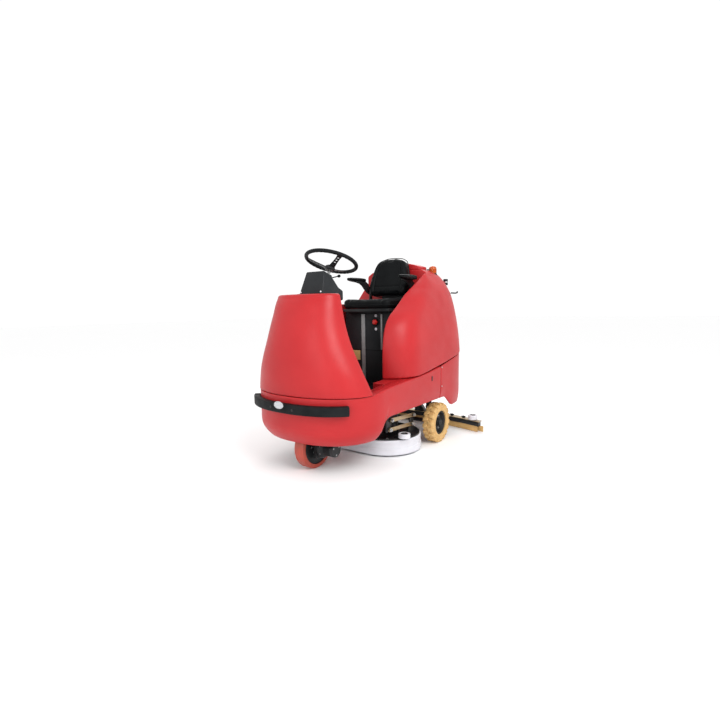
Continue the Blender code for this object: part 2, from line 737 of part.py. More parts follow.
def make_solution_tank():
    """The clean water tank inside the cowl, with its filler neck towards the driver."""
    foot_z = seam_z(-BODY_REACH) + SEAT_GAP
    profile = ((SOLUTION_REAR_Y, foot_z), (SOLUTION_REAR_Y, SOLUTION_TOP_Z),
               (SOLUTION_TOP_FRONT_Y, SOLUTION_TOP_Z), (SOLUTION_FOOT_FRONT_Y, (foot_z + SOLUTION_TOP_Z) / 2),
               (SOLUTION_FOOT_FRONT_Y, foot_z))
    tank = prism("solution_tank", profile, "x", -SOLUTION_HALF_WIDTH, SOLUTION_HALF_WIDTH, "natural_tank")
    inner_half = SOLUTION_HALF_WIDTH - SOLUTION_WALL
    inner_profile = inset_path(profile, [SOLUTION_WALL] * len(profile), closed=True)
    inner = prism("solution_hollow", inner_profile, "x", -inner_half, inner_half, None)
    panel_rear = panel_rear_y()
    neck_start = SOLUTION_REAR_Y - SOLUTION_WALL / 2
    neck = rod("filler_neck", (FILLER_X, neck_start, FILLER_Z), (FILLER_X, panel_rear, FILLER_Z),
               FILLER_RADIUS, None, TURN_POINTS)
    bore = rod("filler_bore", (FILLER_X, SOLUTION_REAR_Y - 3 * SOLUTION_WALL, FILLER_Z),
               (FILLER_X, panel_rear + CUT_MARGIN, FILLER_Z), FILLER_RADIUS - SOLUTION_WALL, None,
               TURN_POINTS)
    weld(tank, neck)
    cut(tank, inner, bore)
    cap_start = panel_rear + SEAT_GAP
    plug_radius = FILLER_RADIUS - SOLUTION_WALL - SEAT_GAP
    plug_depth = FILLER_CAP_THICKNESS
    turned("solution_cap",
           ((plug_radius, -plug_depth), (plug_radius, 0.0), (FILLER_CAP_RADIUS, 0.0),
            (FILLER_CAP_RADIUS, FILLER_CAP_THICKNESS)),
           (FILLER_X, cap_start, FILLER_Z), (0, 1, 0), "charcoal_plastic")
    return tank


# Recovery tank

def tank_ring(z_of, half_width, front_y, rear_depth, inset):
    centre = min(TANK_FRONT_CENTRE_Y, front_y + TANK_FRONT_RADIUS)
    front = half_oval(half_width - inset, centre - front_y - inset, centre, TANK_FRONT_POWER, TANK_POINTS)
    rear = half_oval(half_width - inset, rear_depth - inset, TAIL_CENTRE_Y, TANK_REAR_POWER, TANK_POINTS,
                     front=False)
    middle = len(front) // 2
    outline = front[middle:] + rear + front[:middle]
    return [(x, y, z_of(y)) for x, y in outline]


def tank_rings(inset):
    first = TANK_LEVELS[0]
    low = lambda y: seam_z(y) + SEAM_GAP + inset
    rings = [tank_ring(low, *first[1:], inset)]
    for z, half_width, front_y, rear_depth in TANK_LEVELS:
        level_z = z - inset if z == TANK_LEVELS[-1][0] else z
        base = seam_z(BODY_REACH) + SEAM_GAP + inset + TANK_FOOT_RISE
        height = max(level_z, base)
        rings.append(tank_ring(lambda y: height, half_width, front_y, rear_depth, inset))
    return rings


def tank_solid(name, inset, finish):
    return mirror_capped(name, tank_rings(inset), finish)


def low_wing_cutter(name, drop):
    """Everything above the low wing on the driver's right, up to the dome behind the seat."""
    profile = ((-BODY_REACH, LOW_WING_Z - drop), (LOW_WING_END_Y + drop, LOW_WING_Z - drop),
               (LOW_WING_RISE_Y + drop, TANK_TOP_Z - drop), (LOW_WING_RISE_Y + drop, BODY_REACH * 2),
               (-BODY_REACH, BODY_REACH * 2))
    return prism(name, profile, "x", -BODY_REACH, -BAY_HALF_WIDTH + drop, None)


def bay_cutter(name, wall):
    wide = BAY_HALF_WIDTH + wall
    return block(name, (-wide, -BODY_REACH, 0.0), (wide, BAY_REAR_Y + wall, BODY_REACH * 2), None)


def make_recovery_tank():
    tank = tank_solid("recovery_tank", 0.0, "red_moulding")
    hollow = tank_solid("tank_hollow", TANK_WALL, None)
    pocket_low = BEACON_LOW_Z - RUN_GAP
    above = BODY_REACH * 2
    pocket_guard = rod("pocket_guard", (BEACON_X, BEACON_Y, pocket_low - TANK_WALL),
                       (BEACON_X, BEACON_Y, above),
                       BEACON_RADIUS + SWING_GAP + TANK_WALL, None, TURN_POINTS)
    cut(hollow, bay_cutter("inner_bay_cutter", TANK_WALL), low_wing_cutter("inner_wing_cutter", TANK_WALL),
        pocket_guard)
    mouth = block("mouth_cutter", (-MOUTH_HALF_WIDTH, MOUTH_FRONT_Y, TANK_TOP_Z - 3 * TANK_WALL),
                  (MOUTH_HALF_WIDTH, MOUTH_REAR_Y, TANK_TOP_Z + TANK_WALL), None)
    pocket = rod("pocket_cutter", (BEACON_X, BEACON_Y, pocket_low), (BEACON_X, BEACON_Y, above),
                 BEACON_RADIUS + SWING_GAP, None, TURN_POINTS)
    stem = rod("beacon_stem_cutter", (BEACON_X, BEACON_Y, BEACON_LOW_Z - BEACON_STEM_DEPTH - RUN_GAP),
               (BEACON_X, BEACON_Y, BEACON_LOW_Z), BEACON_STEM_RADIUS + RUN_GAP, None, TURN_POINTS)
    drain = drain_stem("drain_stem_cutter", RUN_GAP)
    return cut(tank, bay_cutter("bay_cutter", 0.0), low_wing_cutter("low_wing_cutter", 0.0), hollow, mouth,
               pocket, stem, drain)


def drain_stem(name, gap):
    """The stub that holds the drain hose's cap, from the cap into the tank's corner."""
    middle_z = (DRAIN_CAP_LOW_Z + DRAIN_CAP_HIGH_Z) / 2
    cap = Vector((DRAIN_CAP_X, DRAIN_CAP_Y, middle_z))
    inwards = Vector((-DRAIN_CAP_X, TAIL_CENTRE_Y - DRAIN_CAP_Y, 0.0)).normalized()
    return rod(name, cap, cap + inwards * (DRAIN_STEM_LENGTH + gap), DRAIN_STEM_RADIUS + gap, None,
               PIN_POINTS)


def make_drain_cap():
    cap = rod("drain_hose_cap", (DRAIN_CAP_X, DRAIN_CAP_Y, DRAIN_CAP_LOW_Z),
              (DRAIN_CAP_X, DRAIN_CAP_Y, DRAIN_CAP_HIGH_Z), DRAIN_CAP_RADIUS, "charcoal_plastic", TURN_POINTS)
    return weld(cap, drain_stem("drain_stem", 0.0))


def make_beacon():
    stem = BEACON_STEM_RADIUS
    return turned("beacon", ((stem, -BEACON_STEM_DEPTH), (stem, 0.0), (BEACON_RADIUS, 0.0),
                             (BEACON_RADIUS, BEACON_HEIGHT * 0.6),
                             (BEACON_RADIUS * 0.8, BEACON_HEIGHT * 0.88),
                             (BEACON_RADIUS * 0.4, BEACON_HEIGHT)),
                  (BEACON_X, BEACON_Y, BEACON_LOW_Z), (0, 0, 1), "orange_lens")


def lid_outline(inset, low_z):
    """The lid's end view: a flat foot and a crowned top."""
    half = LID_HALF_WIDTH - inset
    top = []
    for step in range(LID_STEPS + 1):
        share = 1 - 2 * step / LID_STEPS
        top.append((half * share, LID_EDGE_Z - inset + LID_CROWN * (1 - share ** 2)))
    return [(-half, low_z), (half, low_z)] + top


def make_tank_lid():
    """The lid over the tank's mouth, hollow below, hinged along its rear edge."""
    low_z = TANK_TOP_Z + SEAT_GAP
    lid = prism("tank_lid", lid_outline(0.0, low_z), "y", LID_FRONT_Y, LID_REAR_Y, "red_moulding")
    hollow = prism("lid_hollow", lid_outline(LID_WALL, low_z - LID_WALL), "y", LID_FRONT_Y + LID_WALL,
                   LID_REAR_Y - LID_WALL, None)
    cut(lid, hollow)
    return hold_at(lid, (0.0, LID_REAR_Y, low_z))


# Bumper

def nose_arc(gap, start, end, points):
    """Points round the nose, moved outwards, between two angles from its side."""
    angles = [math.radians(start + (end - start) * step / (points - 1)) for step in range(points)]
    path = []
    for angle in angles:
        x, y = oval_point(angle, BODY_HALF_WIDTH, NOSE_DEPTH, NOSE_POWER)
        path.append((-x, NOSE_CENTRE_Y - y))
    return inset_path(path, [-gap] * points)


def make_bumper():
    start, end = BUMPER_END_ANGLE, 180 - BUMPER_END_ANGLE
    inner = nose_arc(SEAT_GAP * 3, start, end, BUMPER_POINTS)
    outer = nose_arc(BUMPER_THICKNESS, start + BUMPER_END_TAPER, end - BUMPER_END_TAPER, BUMPER_POINTS)
    prism("bumper_strip", inner + outer[::-1], "z", BUMPER_LOW_Z, BUMPER_HIGH_Z, "black_rubber")
    front_y = NOSE_CENTRE_Y - NOSE_DEPTH - BUMPER_THICKNESS - SEAT_GAP * 2
    oval = []
    for step in range(TURN_POINTS):
        angle = 2 * math.pi * step / TURN_POINTS
        oval.append((REFLECTOR_X + REFLECTOR_HALF_LENGTH * math.cos(angle),
                     REFLECTOR_Z + REFLECTOR_HALF_HEIGHT * math.sin(angle)))
    prism("bumper_reflector", oval, "y", front_y - REFLECTOR_THICKNESS, front_y, "white_reflector")


# Seat support

def make_battery_box():
    low_z = FLOOR_Z + SEAT_GAP
    box = block("battery_box", (-BOX_HALF_WIDTH, BOX_FRONT_Y, low_z), (BOX_HALF_WIDTH, BOX_REAR_Y, BOX_TOP_Z),
                "charcoal_plastic")
    inner = block("box_hollow", (-BOX_HALF_WIDTH + BOX_WALL, BOX_FRONT_Y + BOX_WALL, low_z + BOX_WALL),
                  (BOX_HALF_WIDTH - BOX_WALL, BOX_REAR_Y - BOX_WALL, BOX_TOP_Z + BOX_WALL), None)
    stem = rod("stop_stem_cutter", (STOP_BUTTON_X, BOX_FRONT_Y - BOX_WALL, STOP_BUTTON_Z),
               (STOP_BUTTON_X, BOX_FRONT_Y + 3 * BOX_WALL, STOP_BUTTON_Z), STOP_STEM_RADIUS + RUN_GAP, None)
    cut(box, inner, stem)
    stem_in = BOX_WALL + STOP_TRAVEL
    button = turned("stop_button",
                    ((STOP_STEM_RADIUS, -stem_in), (STOP_STEM_RADIUS, STOP_TRAVEL + SEAT_GAP),
                     (STOP_BUTTON_RADIUS, STOP_TRAVEL + SEAT_GAP),
                     (STOP_BUTTON_RADIUS, STOP_TRAVEL + STOP_STEM_RADIUS),
                     (STOP_BUTTON_RADIUS * 0.8, STOP_TRAVEL + STOP_STEM_RADIUS * 1.4)),
                    (STOP_BUTTON_X, BOX_FRONT_Y, STOP_BUTTON_Z), (0, -1, 0), "red_button")
    hold_at(button, (STOP_BUTTON_X, BOX_FRONT_Y, STOP_BUTTON_Z))


def make_battery():
    """One traction battery on the floor of its box, with its two poles."""
    low_z = FLOOR_Z + SEAT_GAP + BOX_WALL + SEAT_GAP
    middle_y = (BOX_FRONT_Y + BOX_REAR_Y) / 2
    high_z = BOX_TOP_Z - BATTERY_HEADROOM
    case = block("traction_battery", (-BATTERY_WIDTH / 2, middle_y - BATTERY_LENGTH / 2, low_z),
                 (BATTERY_WIDTH / 2, middle_y + BATTERY_LENGTH / 2, high_z), "battery_case")
    poles = []
    for side in (-1, 1):
        pole_x = side * BATTERY_WIDTH / 3
        poles.append(rod("battery_pole_%d" % (side + 1), (pole_x, middle_y, high_z - TERMINAL_HEIGHT),
                         (pole_x, middle_y, high_z + TERMINAL_HEIGHT), TERMINAL_RADIUS, None))
    return weld(case, *poles)


# Seat

def back_stays(lean, frame_low):
    """An upright plate from the seat frame, and the leaning plate behind the backrest that it holds."""
    thick = BACK_STAY_THICKNESS
    stay_rear = ARM_PIVOT_Y + ARM_PLATE_HALF_HEIGHT
    near = BACK_THICKNESS + SEAT_GAP * 4
    back_rear = lean @ Vector((0.0, near, 0.0))
    angle = math.radians(BACK_LEAN)
    meet = (stay_rear - thick - back_rear.y) / math.sin(angle)
    upright = block("upright_stay", (-STAY_HALF_WIDTH, stay_rear - thick, frame_low),
                    (STAY_HALF_WIDTH, stay_rear, back_rear.z + meet * math.cos(angle)), None)
    leaning = block("leaning_stay", (-STAY_HALF_WIDTH, near, meet - thick),
                    (STAY_HALF_WIDTH, near + thick, STAY_HEIGHT), None)
    leaning.data.transform(lean)
    return [upright, leaning]


def make_seat():
    plate_low = BOX_TOP_Z + SEAT_GAP
    plate = block("seat_plate", (-BOX_HALF_WIDTH, BOX_FRONT_Y, plate_low),
                  (BOX_HALF_WIDTH, BOX_REAR_Y, plate_low + SEAT_PLATE_THICKNESS), "charcoal_plastic")
    hold_at(plate, (0.0, BOX_FRONT_Y, plate_low))
    frame_low = plate_low + SEAT_PLATE_THICKNESS + SEAT_GAP
    frame_high = frame_low + SEAT_RAIL_HEIGHT
    stay_front = BACK_FOOT_Y + BACK_THICKNESS / math.cos(math.radians(BACK_LEAN)) + SEAT_GAP * 4
    post_x = ARM_SPACING - ARM_PAD_WIDTH / 2 - ARM_PLATE_THICKNESS * 3
    frame = block("seat_frame", (-post_x, 0.0, frame_low),
                  (post_x, stay_front + BACK_STAY_THICKNESS, frame_high),
                  "black_paint")
    foot = Vector((0.0, BACK_FOOT_Y, BACK_LOW_Z))
    lean = Matrix.Translation(foot) @ Matrix.Rotation(math.radians(-BACK_LEAN), 4, "X")
    extras = back_stays(lean, frame_low)
    for side in (-1, 1):
        inner, outer = sorted((side * (post_x - ARM_PLATE_THICKNESS * 2), side * post_x))
        extras.append(block("arm_post_%d" % (side + 1),
                            (inner, ARM_PIVOT_Y - ARM_PLATE_HALF_HEIGHT, frame_low),
                            (outer, ARM_PIVOT_Y + ARM_PLATE_HALF_HEIGHT, ARM_PIVOT_Z + ARM_PLATE_HALF_HEIGHT),
                            None))
        pin_start = side * (post_x - ARM_PLATE_THICKNESS)
        pin_end = side * (post_x + ARM_PLATE_THICKNESS + RUN_GAP)
        extras.append(rod("arm_pin_%d" % (side + 1), (pin_start, ARM_PIVOT_Y, ARM_PIVOT_Z),
                          (pin_end, ARM_PIVOT_Y, ARM_PIVOT_Z), LINK_PIN_RADIUS, None))
    extras.append(block("frame_rear_bar", (-post_x, stay_front, frame_low),
                        (post_x, ARM_PIVOT_Y + ARM_PLATE_HALF_HEIGHT, frame_high), None))
    weld(frame, *extras)
    cushion_low = frame_high + SEAT_GAP
    block("seat_cushion", (-CUSHION_HALF_WIDTH, CUSHION_FRONT_Y, cushion_low),
          (CUSHION_HALF_WIDTH, CUSHION_REAR_Y, cushion_low + CUSHION_HEIGHT), "black_vinyl",
          bevel=CUSHION_EDGE)
    outline = list(BACK_OUTLINE) + [(-x, z) for x, z in reversed(BACK_OUTLINE)]
    back = prism("backrest_cushion", outline, "y", 0.0, BACK_THICKNESS, "black_vinyl", bevel=BACK_EDGE)
    back.data.transform(lean)
    for name, side in (("armrest_left", 1), ("armrest_right", -1)):
        make_armrest(name, side, post_x)


def make_armrest(name, side, post_x):
    pad_low = ARM_PAD_LOW_Z
    inner = post_x + RUN_GAP
    plate_x = sorted((side * inner, side * (inner + ARM_PLATE_THICKNESS)))
    reach = ARM_PLATE_HALF_HEIGHT
    top = pad_low + ARM_PLATE_THICKNESS
    profile = ((ARM_PIVOT_Y - reach, ARM_PIVOT_Z - reach), (ARM_PIVOT_Y + reach, ARM_PIVOT_Z - reach),
               (ARM_PIVOT_Y + reach, ARM_PIVOT_Z + reach), (ARM_PIVOT_Y - 2 * reach, top),
               (ARM_PAD_FRONT_Y + 4 * reach, top), (ARM_PAD_FRONT_Y + 7 * reach, pad_low - reach))
    pad_x = sorted((side * inner, side * (ARM_SPACING + ARM_PAD_WIDTH / 2)))
    pad = block(name, (pad_x[0], ARM_PAD_FRONT_Y, pad_low),
                (pad_x[1], ARM_PIVOT_Y - 2 * reach, pad_low + ARM_PAD_HEIGHT), "black_vinyl",
                bevel=ARM_PAD_EDGE)
    plate = prism(name + "_plate", profile, "x", plate_x[0], plate_x[1], None)
    hole = rod(name + "_hole", (side * (inner - CUT_MARGIN), ARM_PIVOT_Y, ARM_PIVOT_Z),
               (side * (inner + CUT_MARGIN), ARM_PIVOT_Y, ARM_PIVOT_Z), LINK_PIN_RADIUS + SEAT_GAP * 3, None)
    weld(pad, plate)
    cut(pad, hole)
    return hold_at(pad, (0.0, ARM_PIVOT_Y, ARM_PIVOT_Z))


# Steering

def wheel_frame():
    """Local z runs up the steering axis from the middle of the wheel's rim."""
    return Matrix.Translation((0.0, WHEEL_Y, WHEEL_Z)) @ Matrix.Rotation(math.radians(-WHEEL_LEAN), 4, "X")


def axis_point(distance):
    """A point this far down the steering axis from the rim's plane."""
    return wheel_frame() @ Vector((0.0, 0.0, -distance))


def make_steering():
    up = (wheel_frame().to_3x3() @ Vector((0, 0, 1)))
    centre = axis_point(0.0)
    circle = [math.radians(45 * step) for step in range(8)]
    tube = [(WHEEL_RADIUS - WHEEL_TUBE_RADIUS + WHEEL_TUBE_RADIUS * math.cos(a),
             WHEEL_TUBE_RADIUS * math.sin(a))
            for a in circle]
    wheel = turned("steering_wheel", tube, centre, up, "black_rubber", ring=True)
    hub_low = -WHEEL_DISH - HUB_HEIGHT / 2
    hub = turned("wheel_hub", ((HUB_RADIUS * 0.8, hub_low), (HUB_RADIUS, hub_low + HUB_HEIGHT * 0.3),
                               (HUB_RADIUS * 0.9, hub_low + HUB_HEIGHT)), centre, up, None)
    pieces = [hub]
    for turn in (90, 210, 330):
        outer = WHEEL_RADIUS - WHEEL_TUBE_RADIUS
        run = outer - HUB_RADIUS * 0.5
        slope = math.atan2(WHEEL_DISH, run)
        spoke = block("wheel_spoke_%d" % turn, (0.0, -SPOKE_HALF_WIDTH, -SPOKE_THICKNESS / 2),
                      (math.hypot(run, WHEEL_DISH), SPOKE_HALF_WIDTH, SPOKE_THICKNESS / 2), None)
        place = Matrix.Rotation(math.radians(turn), 4,
                                "Z") @ Matrix.Translation((HUB_RADIUS * 0.5, 0, -WHEEL_DISH))
        spoke.data.transform(wheel_frame() @ place @ Matrix.Rotation(-slope, 4, "Y"))
        pieces.append(spoke)
    weld(wheel, *pieces)
    box_top = seam_z(-BODY_REACH) + SEAT_GAP + STEER_BOX_HEIGHT
    shaft_end = (WHEEL_Z - box_top - SHAFT_RADIUS) / math.cos(math.radians(WHEEL_LEAN))
    rod("steering_shaft", axis_point(shaft_end), axis_point(WHEEL_DISH + HUB_HEIGHT / 2 + SEAT_GAP),
        SHAFT_RADIUS, "steel")
    bore = SHAFT_RADIUS + RUN_GAP
    turned("steering_column", ((bore, -COLUMN_START - COLUMN_LENGTH),
                               (COLUMN_RADIUS, -COLUMN_START - COLUMN_LENGTH),
                               (COLUMN_RADIUS, -COLUMN_START), (bore, -COLUMN_START)),
           centre, up, "black_paint", ring=True)
    foot = seam_z(-BODY_REACH) + SEAT_GAP
    half = STEER_BOX_HALF_SIZE
    block("steering_gearbox", (DRIVE_X - half, STEER_BOX_Y - half, foot),
          (DRIVE_X + half, STEER_BOX_Y + half, box_top), "black_paint", bevel=STEER_BOX_EDGE)
    collar_low = -COLUMN_START - HUB_HEIGHT
    ring_in = COLUMN_RADIUS + RUN_GAP / 2
    ring_out = ring_in + LEVER_COLLAR_WALL
    collar_high = collar_low + LEVER_COLLAR_HEIGHT
    lever = turned("direction_lever", ((ring_in, collar_low), (ring_out, collar_low), (ring_out, collar_high),
                                       (ring_in, collar_high)),
                   centre, up, "black_paint", ring=True)
    middle = (collar_low + collar_high) / 2
    start = wheel_frame() @ Vector(((ring_in + ring_out) / 2, 0.0, middle))
    end = wheel_frame() @ Vector((ring_in + LEVER_LENGTH, 0.0, middle + LEVER_RISE))
    stick = rod("lever_stick", start, end, LEVER_RADIUS, None)
    weld(lever, stick)


def taper_console(piece):
    """Narrows a hood from its shelf up to its top."""
    for vertex in piece.data.vertices:
        share = ease(vertex.co.z, CONSOLE_SHELF[1], CONSOLE_TOP_Z)
        vertex.co.x *= 1 + (CONSOLE_TOP_HALF_WIDTH / CONSOLE_HALF_WIDTH - 1) * share


def make_console():
    """The plastic hood over the column: a hollow block, narrower at its top, open below."""
    front_y = COWL_LEVELS[-1][3] + RUN_GAP
    rear_y = CONSOLE_SHELF[0]
    profile = ((front_y, CONSOLE_FOOT_Z), (rear_y, CONSOLE_FOOT_Z), CONSOLE_SHELF, CONSOLE_STEP,
               CONSOLE_TOP_REAR, (front_y + CONSOLE_LEAN, CONSOLE_TOP_Z),
               (front_y, COWL_TOP_Z + CONSOLE_WALL))
    console = prism("steering_console", profile, "x", -CONSOLE_HALF_WIDTH, CONSOLE_HALF_WIDTH,
                    "charcoal_plastic")
    taper_console(console)
    inner_profile = inset_path(profile, [CONSOLE_WALL] * len(profile), closed=True)
    inner_profile[0] = (inner_profile[0][0], CONSOLE_FOOT_Z - CUT_MARGIN)
    inner_profile[1] = (inner_profile[1][0], CONSOLE_FOOT_Z - CUT_MARGIN)
    half = CONSOLE_HALF_WIDTH - CONSOLE_WALL
    inner = prism("console_hollow", inner_profile, "x", -half, half, None)
    taper_console(inner)
    hole = rod("column_cutter", axis_point(COLUMN_START + COLUMN_LENGTH), axis_point(WHEEL_DISH),
               COLUMN_RADIUS + SWING_GAP / 2, None, TURN_POINTS)
    key_y = CONSOLE_SHELF[0]
    key_z = (CONSOLE_FOOT_Z + CONSOLE_SHELF[1]) / 2
    key_hole = rod("key_cutter", (KEY_X, key_y - CUT_MARGIN, key_z), (KEY_X, key_y + CUT_MARGIN, key_z),
                   KEY_STEM_RADIUS + RUN_GAP / 2, None, PIN_POINTS)
    cut(console, inner, hole, key_hole)
    key = turned("key_switch", ((KEY_STEM_RADIUS, -KEY_LENGTH), (KEY_STEM_RADIUS, 0.0),
                                (KEY_RADIUS, 0.0), (KEY_RADIUS, KEY_LENGTH / 2)),
                 (KEY_X, key_y + RUN_GAP, key_z), (0, 1, 0), "steel", PIN_POINTS)
    hold_at(key, (KEY_X, key_y, key_z))


# Drive unit

def make_drive_unit():
    disc_low = FORK_TOP_Z - FORK_DISC_THICKNESS
    fork = turned("steer_fork", ((FORK_DISC_RADIUS, disc_low), (FORK_DISC_RADIUS, FORK_TOP_Z),
                                 (FORK_POST_RADIUS, FORK_TOP_Z),
                                 (FORK_POST_RADIUS, seam_z(-BODY_REACH) - SEAT_GAP)),
                  (DRIVE_X, DRIVE_Y, 0.0), (0, 0, 1), "black_paint")
    arm_x = DRIVE_X + DRIVE_WIDTH / 2 + SWING_GAP
    arm_low = DRIVE_RADIUS - MOTOR_RADIUS
    arm = block("fork_arm", (arm_x, DRIVE_Y - FORK_ARM_HALF_WIDTH, arm_low),
                (arm_x + FORK_ARM_THICKNESS, DRIVE_Y + FORK_ARM_HALF_WIDTH,
                 disc_low + FORK_DISC_THICKNESS / 2), None)
    bore = rod("fork_bore", (arm_x - CUT_MARGIN, DRIVE_Y, DRIVE_RADIUS),
               (arm_x + FORK_ARM_THICKNESS + CUT_MARGIN, DRIVE_Y, DRIVE_RADIUS),
               DRIVE_AXLE_RADIUS + SEAT_GAP, None, TURN_POINTS)
    weld(fork, arm)
    cut(fork, bore)
    hold_at(fork, (DRIVE_X, DRIVE_Y, 0.0))
    motor_x = arm_x + FORK_ARM_THICKNESS + SEAT_GAP
    neck = MOTOR_RADIUS * 0.72
    turned("drive_motor", ((MOTOR_RADIUS, 0.0), (MOTOR_RADIUS, MOTOR_LENGTH * 0.3),
                           (neck, MOTOR_LENGTH * 0.36),
                           (neck, MOTOR_LENGTH)), (motor_x, DRIVE_Y, DRIVE_RADIUS), (1, 0, 0), "black_paint")
    rim = DRIVE_RADIUS - DRIVE_TREAD
    half = DRIVE_WIDTH / 2
    centre = (DRIVE_X, DRIVE_Y, DRIVE_RADIUS)
    axle_end = half + SWING_GAP + FORK_ARM_THICKNESS - SEAT_GAP
    face = half - DRIVE_HUB_RECESS
    turned("drive_hub", ((rim - SEAT_GAP, -face), (rim - SEAT_GAP, face),
                         (rim * 0.8, face), (rim * 0.6, half * 0.6), (DRIVE_AXLE_RADIUS, half * 0.6),
                         (DRIVE_AXLE_RADIUS, axle_end)), centre, (1, 0, 0), "black_paint", WHEEL_POINTS)
    shoulder = DRIVE_SHOULDER
    turned("drive_tyre", ((rim, -half), (DRIVE_RADIUS - shoulder, -half), (DRIVE_RADIUS, -half + shoulder),
                          (DRIVE_RADIUS, half - shoulder), (DRIVE_RADIUS - shoulder, half), (rim, half)),
           centre, (1, 0, 0), "red_polyurethane", WHEEL_POINTS, ring=True)


# Rear wheels

def rear_wheel_x():
    return BODY_HALF_WIDTH - REAR_WIDTH / 2


def make_rear_wheels():
    half = REAR_WIDTH / 2
    shoulder = REAR_WIDTH / 8
    for name, side in (("left", 1), ("right", -1)):
        centre = (side * rear_wheel_x(), REAR_AXLE_Y, REAR_RADIUS)
        turned("rear_hub_" + name,
               ((REAR_AXLE_RADIUS + SEAT_GAP, -half * 0.7), (REAR_RIM_RADIUS - SEAT_GAP, -half * 0.7),
                (REAR_RIM_RADIUS - SEAT_GAP, half * 0.7), (REAR_RIM_RADIUS * 0.86, half * 0.7),
                (REAR_RIM_RADIUS * 0.8, half * 0.1), (REAR_BEARING_RADIUS, half * 0.1),
                (REAR_BEARING_RADIUS, half * 0.6), (REAR_AXLE_RADIUS + SEAT_GAP, half * 0.6)),
               centre, (side, 0, 0), "black_paint", WHEEL_POINTS, ring=True)
        turned("rear_tyre_" + name,
               ((REAR_RIM_RADIUS, -half), (REAR_RADIUS - shoulder, -half), (REAR_RADIUS, -half + shoulder),
                (REAR_RADIUS, half - shoulder), (REAR_RADIUS - shoulder, half), (REAR_RIM_RADIUS, half)),
               centre, (side, 0, 0), "tan_rubber", WHEEL_POINTS, ring=True)


# Brush deck

def stadium(radius, points=14):
    """The deck's outline: two half circles joined by straight sides, running round its middle."""
    outline = []
    for side, start in ((1, -90), (-1, 90)):
        for step in range(points + 1):
            angle = math.radians(start + 180 * step / points)
            outline.append((side * DECK_ARC_X + radius * math.cos(angle), DECK_Y + radius * math.sin(angle)))
    return outline


def band(name, outer, inner, low, high, finish):
    """A closed wall between two outlines of equal length."""
    mesh_data = bmesh.new()
    rings = [[(x, y, z) for x, y in outline]
             for outline, z in ((outer, low), (outer, high), (inner, high), (inner, low))]
    skin_rings(mesh_data, rings, wrap_rings=True)
    return finish_object(name, mesh_data, finish)


def link_points(side):
    """Front and rear pivots of the lower and the upper link."""
    front = Vector((side * LINK_X, LOWER_FRONT_Y, LOWER_FRONT_Z))
    run = Vector((0.0, LINK_RUN, -LINK_DROP))
    shift = Vector((0.0, UPPER_SHIFT_Y, UPPER_SHIFT_Z))
    return {"lower": (front, front + run), "upper": (front + shift, front + shift + run)}


def roller_arm(name, side):
    """A stepped bar that stands on the deck plate and reaches out over the skirt to the bump wheel."""
    plate_middle = DECK_PLATE_Z - DECK_PLATE_THICKNESS / 2
    arm_low = DECK_PLATE_Z + RUN_GAP
    arm_high = DECK_PLATE_Z + DECK_PLATE_THICKNESS
    foot_in = side * (BUMP_ROLLER_X - ROLLER_ARM_LENGTH)
    foot_out = foot_in + side * ROLLER_ARM_FOOT
    tip = side * (BUMP_ROLLER_X + ROLLER_PIN_RADIUS * 2)
    profile = ((foot_in, plate_middle), (foot_out, plate_middle), (foot_out, arm_low), (tip, arm_low),
               (tip, arm_high), (foot_in, arm_high))
    half = ROLLER_PIN_RADIUS * 2
    return prism(name, profile, "y", BUMP_ROLLER_Y - half, BUMP_ROLLER_Y + half, None)


